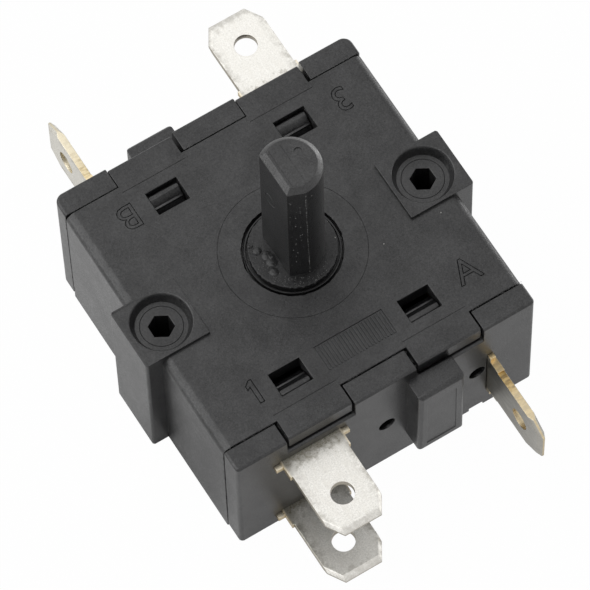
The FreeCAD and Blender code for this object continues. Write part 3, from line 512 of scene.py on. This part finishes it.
def tube(name, sections):
    # a closed tube through a row of sections with four corners each
    faces, count = [], len(sections)
    for i in range(count):
        near, far = i * 4, ((i + 1) % count) * 4
        for j in range(4):
            k = (j + 1) % 4
            faces.append((near + j, near + k, far + k, far + j))
    return meshItem(name, [point for section in sections for point in section], faces)


def grooveSection(half, depth):
    # a V groove's corners: how far to the side, and how far up
    proud = 0.02 * mm
    return (-half, proud), (0, -depth), (half, proud), (0, depth)


def loopGroove(loop, half, level, placed):
    # a V groove along a closed row of points, mitred at its corners
    sections, count, mitreLimit = [], len(loop), 0.6
    for i, here in enumerate(loop):
        before, after = (here - loop[i - 1]).normalized(), (loop[(i + 1) % count] - here).normalized()
        side = Vector((-before.y - after.y, before.x + after.x))
        side = side.normalized() if side.length > 1e-6 else Vector((-before.y, before.x))
        stretch = half / max(mitreLimit, side.dot(Vector((-after.y, after.x))))
        corners = [(placed @ Vector((*(here + side * out), 0.0)), up)
                   for out, up in grooveSection(stretch, half)]
        sections.append([(spot.x, spot.y, level + up) for spot, up in corners])
    return tube("cutter", sections)


def ringGroove(x, y, radius, half, level, steps=96):
    # a V groove that runs round in a circle
    return tube("cutter", [[(x + (radius + out) * right, y + (radius + out) * back, level + up)
                            for out, up in grooveSection(half, half)] for right, back in circle(steps)])


def hoop(inner, outer, low, high, steps=96):
    # an upright ring with a square section
    corners = ((inner, low), (outer, low), (outer, high), (inner, high))
    return tube("cutter", [[(radius * right, radius * back, level) for radius, level in corners]
                           for right, back in circle(steps)])


def column(x, y, radii, low, high):
    # an upright prism with one radius for each corner
    count = len(radii)
    points = [(x + radius * right, y + radius * back, level)
              for level in (low, high) for radius, (right, back) in zip(radii, circle(count))]
    faces = [tuple(range(count)), tuple(range(count, 2 * count))]
    faces += [(i, (i + 1) % count, count + (i + 1) % count, count + i) for i in range(count)]
    return meshItem("cutter", points, faces)


coverValues = {
    "edge": 0.1 * mm, "top": 18.3 * mm, "over": 1 * mm, "panelHalf": 3.87 * mm, "panelBack": -10.0 * mm,
    "panelFront": -12.95 * mm, "panelDepth": 0.12 * mm,
    # witness ring round the hub, rings on the two recess floors
    "ringRadius": 7.4 * mm, "ringHalf": 0.035 * mm, "screwX": 15.0 * mm, "floorRing": 2.15 * mm,
    "floorRingHalf": 0.05 * mm, "floorRingSteps": 64, "recessFloor": 17.65 * mm,
    # the worn, ragged edge of the hub hole, a little wider to the back
    "wornRadius": 5.07 * mm, "wornRagged": 0.045 * mm, "wornShift": (0.0, 0.04 * mm),
    "wornDepth": 1.2 * mm, "wornSteps": 140, "wornSeed": 7,
    # fine lines where the tabs begin
    "rootInner": 3.75 * mm, "rootOuter": 10.95 * mm, "rootLine": 14.1 * mm, "rootHalf": 0.03 * mm,
}


def makeCover():
    # the order of the cuts matters: other orders leave flaws round the signs
    values = coverValues
    top, over = values["top"], values["top"] + values["over"]
    item = easeEdges(cleanCopy("cover", "coverShell"), values["edge"])
    cut(item, boxCutter((-values["panelHalf"], values["panelFront"], top - values["panelDepth"]),
                        (values["panelHalf"], values["panelBack"], over)))
    for sign, x, y, turn in markValues["signs"]:
        spot = Matrix.Translation((x * mm, y * mm, 0)) @ Matrix.Rotation(math.radians(turn), 4, "Z")
        for loop in signLoops(sign):
            cut(item, loopGroove(loop, markValues["groove"], top, spot))
    cut(item, ringGroove(0, 0, values["ringRadius"], values["ringHalf"], top))
    chance = random.Random(values["wornSeed"])
    worn = [values["wornRadius"] + chance.uniform(-1, 1) * values["wornRagged"]
            for i in range(values["wornSteps"])]
    cut(item, column(*values["wornShift"], worn, top - values["wornDepth"], over))
    for side in (-1, 1):
        cut(item, ringGroove(side * values["screwX"], 0, values["floorRing"], values["floorRingHalf"],
                             values["recessFloor"], values["floorRingSteps"]))
    half = values["rootHalf"]
    for end in (-1, 1):
        for side in (-1, 1):
            left, right = sorted((side * values["rootInner"], side * values["rootOuter"]))
            y = end * values["rootLine"]
            cut(item, boxCutter((left, y - half, top - 2 * half), (right, y + half, over)))
    return item


baseValues = {"edge": 0.08 * mm}

rotorValues = {
    # the round sink mark on the flat, and faint lines across the shaft's end
    "edge": 0.06 * mm, "flat": -1.9 * mm, "markY": 0.75 * mm, "markZ": 30.0 * mm, "markRadius": 0.8 * mm,
    "markHalf": 0.07 * mm, "markSteps": 40, "top": 37.0 * mm, "over": 1 * mm,
    "lines": (-1.05 * mm, 0.24 * mm), "lineHalf": 0.04 * mm, "lineReach": 2.2 * mm,
    # the hub's shoulder is worn back, so that a wider gap is seen round it
    "shoulder": 4.77 * mm, "hub": 5.2 * mm, "shoulderLow": 17.5 * mm, "shoulderHigh": 19.0 * mm,
}


def makeRotor():
    values = rotorValues
    item = easeEdges(cleanCopy("rotor", "rotorShaft"), values["edge"])
    mark = ringGroove(0, 0, values["markRadius"], values["markHalf"], 0.0, values["markSteps"])
    mark.data.transform(Matrix.Translation((values["flat"], values["markY"], values["markZ"]))
                        @ Matrix.Rotation(math.radians(-90), 4, "Y"))
    cut(item, mark)
    cut(item, hoop(values["shoulder"], values["hub"], values["shoulderLow"], values["shoulderHigh"]))
    half, reach, top = values["lineHalf"], values["lineReach"], values["top"]
    for x in values["lines"]:
        cut(item, boxCutter((x - half, -reach, top - half), (x + half, reach, top + values["over"])))
    return item


coverPiece = makeCover()
basePiece = easeEdges(cleanCopy("base", "baseShell"), baseValues["edge"])
rotorPiece = makeRotor()
for piece, finish in ((coverPiece, "coverPlastic"), (basePiece, "basePlastic"), (rotorPiece, "rotorPlastic")):
    evenShade(piece)
    coat(piece, finish)
for piece, node, body in ((coverPiece, "cover", "housing"), (basePiece, "base", "housing"),
                          (rotorPiece, "rotor", "rotor")):
    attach(piece, body)
    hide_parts(node)
print("housing and rotor dressed")


# geometry trees for what repeats

def nodeTree(name, **inputs):
    tree = bpy.data.node_groups.new(name, "GeometryNodeTree")
    tree.interface.new_socket("Geometry", in_out="INPUT", socket_type="NodeSocketGeometry")
    tree.interface.new_socket("Geometry", in_out="OUTPUT", socket_type="NodeSocketGeometry")
    for key, kind in inputs.items():
        tree.interface.new_socket(key, in_out="INPUT", socket_type="NodeSocket" + kind)
    return tree, tree.nodes.new("NodeGroupInput"), tree.nodes.new("NodeGroupOutput")


def finishTree(tree, given, output, instances):
    real = tree.nodes.new("GeometryNodeRealizeInstances")
    coated = tree.nodes.new("GeometryNodeSetMaterial")
    tree.links.new(instances, real.inputs["Geometry"])
    tree.links.new(real.outputs["Geometry"], coated.inputs["Geometry"])
    tree.links.new(given.outputs["Finish"], coated.inputs["Material"])
    tree.links.new(coated.outputs["Geometry"], output.inputs["Geometry"])
    return tree


def ribTree():
    # a row of equal ribs, one step apart along X
    tree, given, output = nodeTree("ribRow", Count="Int", Step="Vector", Start="Vector", Size="Vector",
                                   Finish="Material")
    row = addNode(tree, "GeometryNodeMeshLine", {"mode": "OFFSET"})
    for key, socket in (("Count", "Count"), ("Step", "Offset"), ("Start", "Start Location")):
        tree.links.new(given.outputs[key], row.inputs[socket])
    rib = tree.nodes.new("GeometryNodeMeshCube")
    tree.links.new(given.outputs["Size"], rib.inputs["Size"])
    spread = tree.nodes.new("GeometryNodeInstanceOnPoints")
    tree.links.new(row.outputs["Mesh"], spread.inputs["Points"])
    tree.links.new(rib.outputs["Mesh"], spread.inputs["Instance"])
    return finishTree(tree, given, output, spread.outputs["Instances"])


crumbTurn = 6.2  # the crumbs' largest turn, in radians


def crumbTree():
    # small uneven crumbs strewn along the edges of a given path
    tree, given, output = nodeTree("crumbTrail", Step="Float", Spread="Vector", Smallest="Float",
                                   Largest="Float", Share="Float", Seed="Int", Finish="Material")
    curve = tree.nodes.new("GeometryNodeMeshToCurve")
    tree.links.new(given.outputs["Geometry"], curve.inputs["Mesh"])
    spots = addNode(tree, "GeometryNodeCurveToPoints", {"mode": "LENGTH"})
    tree.links.new(curve.outputs["Curve"], spots.inputs["Curve"])
    tree.links.new(given.outputs["Step"], spots.inputs["Length"])
    away = addNode(tree, "FunctionNodeRandomValue", {"data_type": "FLOAT_VECTOR"})
    back = addNode(tree, "ShaderNodeVectorMath", {"operation": "SCALE"})
    back.inputs["Scale"].default_value = -1.0
    tree.links.new(given.outputs["Spread"], back.inputs[0])
    tree.links.new(back.outputs["Vector"], away.inputs[0])
    tree.links.new(given.outputs["Spread"], away.inputs[1])
    moved = tree.nodes.new("GeometryNodeSetPosition")
    tree.links.new(spots.outputs["Points"], moved.inputs["Geometry"])
    tree.links.new(away.outputs[0], moved.inputs["Offset"])
    crumb = addNode(tree, "GeometryNodeMeshIcoSphere", Radius=1.0, Subdivisions=1)
    chosen = addNode(tree, "FunctionNodeRandomValue", {"data_type": "BOOLEAN"})
    tree.links.new(given.outputs["Share"], chosen.inputs["Probability"])
    bulk = addNode(tree, "FunctionNodeRandomValue", {"data_type": "FLOAT"})
    tree.links.new(given.outputs["Smallest"], bulk.inputs[2])
    tree.links.new(given.outputs["Largest"], bulk.inputs[3])
    turn = addNode(tree, "FunctionNodeRandomValue", {"data_type": "FLOAT_VECTOR"})
    turn.inputs[1].default_value = (crumbTurn, crumbTurn, crumbTurn)
    for node in (away, chosen, bulk, turn):
        tree.links.new(given.outputs["Seed"], node.inputs["Seed"])
    spread = tree.nodes.new("GeometryNodeInstanceOnPoints")
    for source, socket in ((moved.outputs["Geometry"], "Points"), (crumb.outputs["Mesh"], "Instance"),
                           (chosen.outputs[3], "Selection"), (turn.outputs[0], "Rotation"),
                           (bulk.outputs[1], "Scale")):
        tree.links.new(source, spread.inputs[socket])
    return finishTree(tree, given, output, spread.outputs["Instances"])


def grown(item, tree, values):
    # runs a tree on an item and keeps the result as a plain mesh
    modifier = item.modifiers.new(tree.name, "NODES")
    modifier.node_group = tree
    for socket in tree.interface.items_tree:
        if socket.in_out == "INPUT" and socket.name in values:
            modifier[socket.identifier] = values[socket.name]
    return applied(item)


def pathItem(name, rows):
    # loose edges through each row of points
    points, edges = [], []
    for row in rows:
        edges += [(len(points) + i, len(points) + i + 1) for i in range(len(row) - 1)]
        points += row
    mesh = bpy.data.meshes.new(name)
    mesh.from_pydata([tuple(value * mm for value in point) for point in points], edges, [])
    return link(bpy.data.objects.new(name, mesh))


hatchValues = {
    # ribs in the recessed panel, in mm; ribRoot: added height, half of it sunk in the panel's floor
    "pitch": 0.35, "ribWidth": 0.15, "ribHeight": 0.07, "ribRoot": 0.02, "margin": 0.12,
}


def makeHatch():
    # fine ribs that fill the recessed panel
    values, cover = hatchValues, coverValues
    half = cover["panelHalf"] / mm - values["margin"]
    count = int(2 * half / values["pitch"]) + 1
    middle = (cover["panelFront"] + cover["panelBack"]) / 2
    length = cover["panelBack"] - cover["panelFront"] - 2 * values["margin"] * mm
    floor = cover["top"] - cover["panelDepth"]
    item = grown(pathItem("panelHatch", [[(0, 0, 0), (0, 1, 0)]]), ribTree(), {
        "Count": count, "Step": (values["pitch"] * mm, 0.0, 0.0),
        "Start": (-values["pitch"] * (count - 1) / 2 * mm, middle, floor + values["ribHeight"] / 2 * mm),
        "Size": (values["ribWidth"] * mm, length, (values["ribHeight"] + values["ribRoot"]) * mm),
        "Finish": finishes["coverPlastic"]})
    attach(item, "housing")


crumbValues = {
    # flash and dirt along the joints, in mm: rows of points, step, spread, sizes, share kept
    "frontSeam": {
        "rows": [[(-16.9, -14.8, 18.27), (-11.4, -14.8, 18.27)], [(-3.4, -14.8, 18.27), (3.4, -14.8, 18.27)],
                 [(11.4, -14.8, 18.27), (16.9, -14.8, 18.27)],
                 [(-16.98, -14.82, 2.0), (-16.98, -14.82, 17.6)],
                 [(-11.05, -17.0, 18.2), (-11.05, -14.9, 18.2)], [(3.5, -17.0, 18.2), (3.5, -14.9, 18.2)]],
        "step": 0.09, "spread": (0.06, 0.06, 0.03), "sizes": (0.02, 0.07), "share": 0.6, "seed": 3,
        "finish": "coverPlastic", "body": "housing", "slot": "cover_plastic"},
    "rearSeam": {
        "rows": [[(-16.9, 14.87, 18.28), (-11.2, 14.87, 18.28)], [(-3.4, 14.87, 18.28), (3.6, 14.87, 18.28)],
                 [(11.4, 14.87, 18.28), (16.5, 14.87, 18.28)], [(-16.98, 14.87, 2.0), (-16.98, 14.87, 17.6)]],
        "step": 0.1, "spread": (0.05, 0.05, 0.02), "sizes": (0.02, 0.055), "share": 0.5, "seed": 4,
        "finish": "coverPlastic", "body": "housing", "slot": "cover_plastic"},
    "padEdges": {
        "rows": [[(-18.6, -3.4, 18.67), (-11.6, -3.42, 18.67)], [(-18.7, -3.3, 18.66), (-18.7, 3.3, 18.66)],
                 [(11.6, -3.42, 18.67), (18.6, -3.42, 18.67)], [(-11.52, -3.3, 18.67), (-11.52, 3.3, 18.67)]],
        "step": 0.09, "spread": (0.03, 0.03, 0.01), "sizes": (0.008, 0.03), "share": 0.3, "seed": 5,
        "finish": "dustFinish", "body": "housing", "slot": "cover_plastic"},
    "facetSpecks": {
        "rows": [[(-1.62, -2.64, 19.6), (-1.62, -2.64, 35.5)], [(-1.15, -2.82, 19.6), (-1.15, -2.82, 35.0)],
                 [(-0.7, -2.99, 19.6), (-0.7, -2.99, 34.0)]],
        "step": 0.12, "spread": (0.16, 0.06, 0.05), "sizes": (0.02, 0.06), "share": 0.2, "seed": 6,
        "finish": "dustFinish", "body": "rotor", "slot": "rotor_plastic"},
    "shaftSeam": {
        "rows": [[(0.0, -3.17, 19.0), (-0.25, -3.17, 36.35)]],
        "step": 0.15, "spread": (0.035, 0.01, 0.06), "sizes": (0.015, 0.065), "share": 0.6, "seed": 7,
        "finish": "dustFinish", "body": "rotor", "slot": "rotor_plastic"},
    "crownDirt": {
        "rows": [[(-3.9, -1.4, 18.85), (-2.3, -3.4, 18.85), (0.3, -4.1, 18.85), (2.4, -3.4, 18.85)],
                 [(-3.4, 2.2, 18.85), (-3.9, 0.6, 18.85), (-3.2, -1.9, 18.85), (-0.6, -3.6, 18.85)]],
        "step": 0.06, "spread": (0.45, 0.45, 0.0), "sizes": (0.012, 0.045), "share": 0.7, "seed": 8,
        "finish": "dustFinish", "body": "rotor", "slot": "rotor_plastic"},
}


def makeCrumbs():
    tree = crumbTree()
    for name, values in crumbValues.items():
        smallest, largest = values["sizes"]
        item = grown(pathItem(name + "Crumbs", values["rows"]), tree, {
            "Step": values["step"] * mm, "Spread": tuple(v * mm for v in values["spread"]),
            "Smallest": smallest * mm, "Largest": largest * mm, "Share": values["share"],
            "Seed": values["seed"], "Finish": finishes[values["finish"]]})
        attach(item, values["body"])


hubValues = {
    # low round bumps on the hub crown beside the flat (place, radius), in mm
    "bumps": ((-3.19, 1.47, 0.46), (-2.65, 0.49, 0.55), (-2.58, -0.32, 0.58), (-2.98, -1.34, 0.48),
              (-2.35, 0.1, 0.4), (-3.5, 2.3, 0.3)),
    "crown": 18.85, "rise": 0.14, "uneven": 0.02, "bumpSeed": 5,
    # the crown's ragged rim, in mm: the band it stands on, and how far its lip reaches out
    "rimRadius": 4.36, "rimSteps": 220, "rimSeed": 11, "bandBack": 0.15, "bandTop": 0.02, "bandFoot": 0.1,
    "lipLeast": 0.03, "lipMost": 0.2, "lipSpan": 0.09, "lipMiddle": 0.2, "lipUneven": 0.6,
    "lipTop": 0.03, "lipFoot": 0.09, "lipTaper": 0.8,
}


def makeHubMarks():
    values = hubValues
    form = bmesh.new()
    chance = random.Random(values["bumpSeed"])
    for x, y, radius in values["bumps"]:
        made = bmesh.ops.create_icosphere(form, subdivisions=3, radius=radius * mm)
        for vert in made["verts"]:
            vert.co.z *= values["rise"] / radius
            away = Vector(chance.gauss(0, values["uneven"]) for axis in range(3))
            vert.co += (Vector((x, y, values["crown"])) + away) * mm
    for face in form.faces:
        face.smooth = True
    mesh = bpy.data.meshes.new("hubMarks")
    form.to_mesh(mesh)
    form.free()
    item = link(bpy.data.objects.new("hubMarks", mesh))
    coat(item, "rotorPlastic")
    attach(item, "rotor")
    # the rim: a thin lip of uneven width, standing just below the crown's top
    chance, sections = random.Random(values["rimSeed"]), []
    for right, back in circle(values["rimSteps"]):
        swing = max(0.0, chance.gauss(values["lipMiddle"], values["lipUneven"]))
        lip = min(values["lipLeast"] + values["lipSpan"] * swing, values["lipMost"])
        section = []
        for out, down in ((-values["bandBack"], values["bandTop"]), (-values["bandBack"], values["bandFoot"]),
                          (lip, values["lipFoot"]), (lip * values["lipTaper"], values["lipTop"])):
            radius = (values["rimRadius"] + out) * mm
            section.append((radius * right, radius * back, (values["crown"] - down) * mm))
        sections.append(section)
    rim = tube("crownRim", sections)
    coat(rim, "rotorPlastic")
    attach(rim, "rotor")


makeHatch()
makeCrumbs()
makeHubMarks()
print("hatch, crumbs and hub marks made")


bladeValues = {
    # the coined band at the tip: how far it reaches back and how deep it goes at the rim
    "edge": 0.05 * mm, "edgeAngle": 20.0, "bandReach": 0.65 * mm, "sideReach": 0.36 * mm,
    "bandDrop": 0.29 * mm, "reach": 27.0 * mm, "thickness": 0.8 * mm, "chamferLength": 1.8 * mm,
    "chamferWidth": 1.1 * mm, "halfWidth": 3.175 * mm,
    # which finish the blades have that aren't plain flat ones
    "finish": {"front_common": "uprightFront", "rear_common": "uprightRear", "rear_upper": "flatRear"},
    # end (front or back), axis across the sheet, middle of the sheet and of the width
    "front_upper": (-1, 2, 14.35 * mm, -8.75 * mm), "front_lower": (-1, 2, 2.5 * mm, -8.75 * mm),
    "rear_upper": (1, 2, 14.35 * mm, 8.75 * mm), "front_common": (-1, 0, 12.0 * mm, 7.8 * mm),
    "rear_common": (1, 0, -12.0 * mm, 11.0 * mm),
}


def coinTip(item, end, axis, sheetMiddle, widthMiddle):
    # shaves both sides of the tip's three rims to a wide shallow slope
    values = bladeValues
    diagonal = math.hypot(values["chamferLength"], values["chamferWidth"])
    slant = (values["chamferLength"] / diagonal, values["chamferWidth"] / diagonal)
    form = bmesh.new()
    form.from_mesh(item.data)
    for face in (-1, 1):
        for side in (-1, 0, 1):
            # outward direction in the sheet's plane: (across the width, along the blade)
            outward = (side * slant[0], slant[1]) if side else (0.0, 1.0)
            rim = (side * values["halfWidth"], values["reach"] - values["chamferLength"]) if side \
                else (0.0, values["reach"])
            normal, spot = [0.0, 0.0, 0.0], [0.0, 0.0, 0.0]
            widthAxis = 0 if axis == 2 else 2
            normal[widthAxis] = outward[0] * values["bandDrop"]
            normal[1] = end * outward[1] * values["bandDrop"]
            normal[axis] = face * (values["sideReach"] if side else values["bandReach"])
            spot[widthAxis] = widthMiddle + rim[0]
            spot[1] = end * rim[1]
            spot[axis] = sheetMiddle + face * (values["thickness"] / 2 - values["bandDrop"])
            cutEdges = bmesh.ops.bisect_plane(
                form, geom=form.verts[:] + form.edges[:] + form.faces[:], dist=1e-8,
                plane_co=spot, plane_no=normal, clear_outer=True)["geom_cut"]
            rims = [edge for edge in cutEdges if isinstance(edge, bmesh.types.BMEdge)]
            if rims:
                bmesh.ops.contextual_create(form, geom=rims)
    bmesh.ops.recalc_face_normals(form, faces=form.faces)
    form.to_mesh(item.data)
    form.free()
    return item


for name in ("front_upper", "front_lower", "rear_upper", "front_common", "rear_common"):
    blade = coinTip(cleanCopy("terminal_" + name, "blade_" + name), *bladeValues[name])
    blade = evenShade(easeEdges(blade, bladeValues["edge"], bladeValues["edgeAngle"]))
    coat(blade, bladeValues["finish"].get(name, "flat") + "Blade")
    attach(blade, "housing")
    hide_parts("terminal_" + name)
print("blades dressed")


# camera, from the photograph's viewpoint

cameraValues = {
    "azimuth": -29.9, "elevation": 64.906, "roll": -2.007, "distance": 552.371 * mm,
    "aim": (0.0, 0.0, 12.8 * mm), "slideRight": 0.1275 * mm, "slideUp": -2.1348 * mm, "lens": 342.4,
    "sensor": 36.0, "nearest": 10 * mm, "farthest": 20.0,
}


def makeCamera():
    values = cameraValues
    azimuth, elevation = math.radians(values["azimuth"]), math.radians(values["elevation"])
    roll = math.radians(values["roll"])
    back = Vector((math.sin(azimuth) * math.cos(elevation), -math.cos(azimuth) * math.cos(elevation),
                   math.sin(elevation)))
    right = Vector((math.cos(azimuth), math.sin(azimuth), 0.0))
    up = back.cross(right)
    right, up = (right * math.cos(roll) + up * math.sin(roll), up * math.cos(roll) - right * math.sin(roll))
    lens = bpy.data.cameras.new("camera")
    lens.lens = values["lens"]
    lens.sensor_width = values["sensor"]
    lens.clip_start = values["nearest"]
    lens.clip_end = values["farthest"]
    camera = link(bpy.data.objects.new("camera", lens))
    spot = Vector(values["aim"]) + back * values["distance"]
    spot = spot + right * values["slideRight"] + up * values["slideUp"]
    camera.matrix_world = Matrix((
        (right.x, up.x, back.x, spot.x), (right.y, up.y, back.y, spot.y),
        (right.z, up.z, back.z, spot.z), (0, 0, 0, 1)))
    scene.camera = camera


makeCamera()


# floor, surroundings and lamps

stageValues = {
    # floor: its size in metres, its paper, and the share that is plain white to the camera and to mirroring
    # faces; surround: strength of the light from all round
    "floorSize": 3.0, "paper": (0.9, 0.9, 0.9, 1), "white": (1, 1, 1, 1), "whiteSeen": 0.985,
    "whiteMirrored": 0.62, "surround": 0.3,
    # what glossy faces alone see in the floor: dim places of painted shade (place, reach, share of the light
    # left) before the left ear, beside it and at the front left corner, whose dark core is the share dimCore
    # of their reach
    "dim": (((-0.0185, -0.007), 0.009, 0.03), ((-0.0215, 0.004), 0.01, 0.72),
            ((-0.014, -0.0215), 0.013, 0.72)), "dimCore": 0.4,
    # and a glowing strip of painted light that runs off to the right behind the switch, seen only by glossy
    # faces
    "brightFrom": (0.075, 0.13), "brightMiddle": 0.062, "brightHalf": (0.03, 0.055), "brightPower": 8.0,
}


def seenDirectly(tree, mirrored=1.0):
    path = addNode(tree, "ShaderNodeLightPath")
    shown = path.outputs["Is Camera Ray"]
    glossy = maths(tree, "MULTIPLY", path.outputs["Is Glossy Ray"], mirrored)
    for other in (glossy, path.outputs["Is Transmission Ray"]):
        shown = maths(tree, "MAXIMUM", shown, other)
    return shown


def nearSpot(tree, spot, inner, outer, value, beyond):
    away = addNode(tree, "ShaderNodeVectorMath", {"operation": "DISTANCE"})
    tree.links.new(addNode(tree, "ShaderNodeTexCoord").outputs["Object"], away.inputs[0])
    away.inputs[1].default_value = (*spot, 0)
    return ramp(tree, away.outputs["Value"], inner, outer, value, beyond)


def blended(tree, share, first, second, output):
    blend = addNode(tree, "ShaderNodeMixShader")
    for source, socket in zip((share, first.outputs[0], second.outputs[0]), blend.inputs):
        tree.links.new(source, socket)
    tree.links.new(blend.outputs[0], output.inputs["Surface"])


def makeFloor():
    values = stageValues
    mesh = bpy.data.meshes.new("floor")
    half = values["floorSize"] / 2
    corners = [(-half, -half, 0), (half, -half, 0), (half, half, 0), (-half, half, 0)]
    mesh.from_pydata(corners, [], [(0, 1, 2, 3)])
    floor = link(bpy.data.objects.new("floor", mesh))
    finish = bpy.data.materials.new("floorPaper")
    finish.use_nodes = True
    tree = finish.node_tree
    tree.nodes.clear()
    output = addNode(tree, "ShaderNodeOutputMaterial")
    paper = addNode(tree, "ShaderNodeBsdfDiffuse", Color=values["paper"])
    white = addNode(tree, "ShaderNodeEmission", Color=values["white"])
    mirrored = values["whiteMirrored"]
    # painted shade: dim places in the floor that only glossy faces see
    for spot, reach, left in values["dim"]:
        near = nearSpot(tree, spot, values["dimCore"] * reach, reach, left, 1.0)
        mirrored = times(tree, near, mirrored)
    share = times(tree, seenDirectly(tree, mirrored), values["whiteSeen"])
    # painted light: the floor glows in a strip that only glossy faces see
    aside = maths(tree, "SUBTRACT", component(tree, "Object", 1), values["brightMiddle"])
    aside = maths(tree, "ABSOLUTE", aside)
    along = ramp(tree, component(tree, "Object", 0), *values["brightFrom"], 0.0, values["brightPower"])
    bright = times(tree, along, ramp(tree, aside, *values["brightHalf"], 1.0, 0.0))
    glossy = addNode(tree, "ShaderNodeLightPath").outputs["Is Glossy Ray"]
    tree.links.new(maths(tree, "ADD", times(tree, glossy, bright), 1.0), white.inputs["Strength"])
    blended(tree, share, paper, white, output)
    mesh.materials.append(finish)


def makeSurround():
    world = bpy.data.worlds.new("surround")
    scene.world = world
    world.use_nodes = True
    tree = world.node_tree
    tree.nodes.clear()
    output = addNode(tree, "ShaderNodeOutputWorld")
    colour = stageValues["white"]
    plain = addNode(tree, "ShaderNodeBackground", Color=colour, Strength=stageValues["surround"])
    white = addNode(tree, "ShaderNodeBackground", Color=colour, Strength=1.0)
    blended(tree, seenDirectly(tree), plain, white, output)


lampValues = {
    # place, aim and size in metres, and power in watts, of each soft lamp
    "backLeft": {"place": (-0.38, 0.2, 0.6), "aim": (0, 0, 0.01), "size": 0.85, "power": 2.8},
    "backRight": {"place": (0.7, 0.42, 0.18), "aim": (0, 0, 0.01), "size": 0.25, "power": 0.3},
    "left": {"place": (-0.7, 0.29, 0.17), "aim": (0, 0, 0.03), "size": 0.22, "power": 0.4},
    "lowRight": {"place": (0.24, -0.045, 0.05), "aim": (0.0, 0.0, 0.036), "size": 0.07, "power": 0.045},
}


def makeLamp(name):
    values = lampValues[name]
    data = bpy.data.lights.new(name, "AREA")
    data.shape = "SQUARE"
    data.size = values["size"]
    data.energy = values["power"]
    lamp = link(bpy.data.objects.new(name, data))
    lamp.location = values["place"]
    towards = Vector(values["aim"]) - Vector(values["place"])
    lamp.rotation_euler = towards.to_track_quat("-Z", "Y").to_euler()


makeFloor()
makeSurround()
for lampName in lampValues:
    makeLamp(lampName)
print("camera, floor and lamps made")
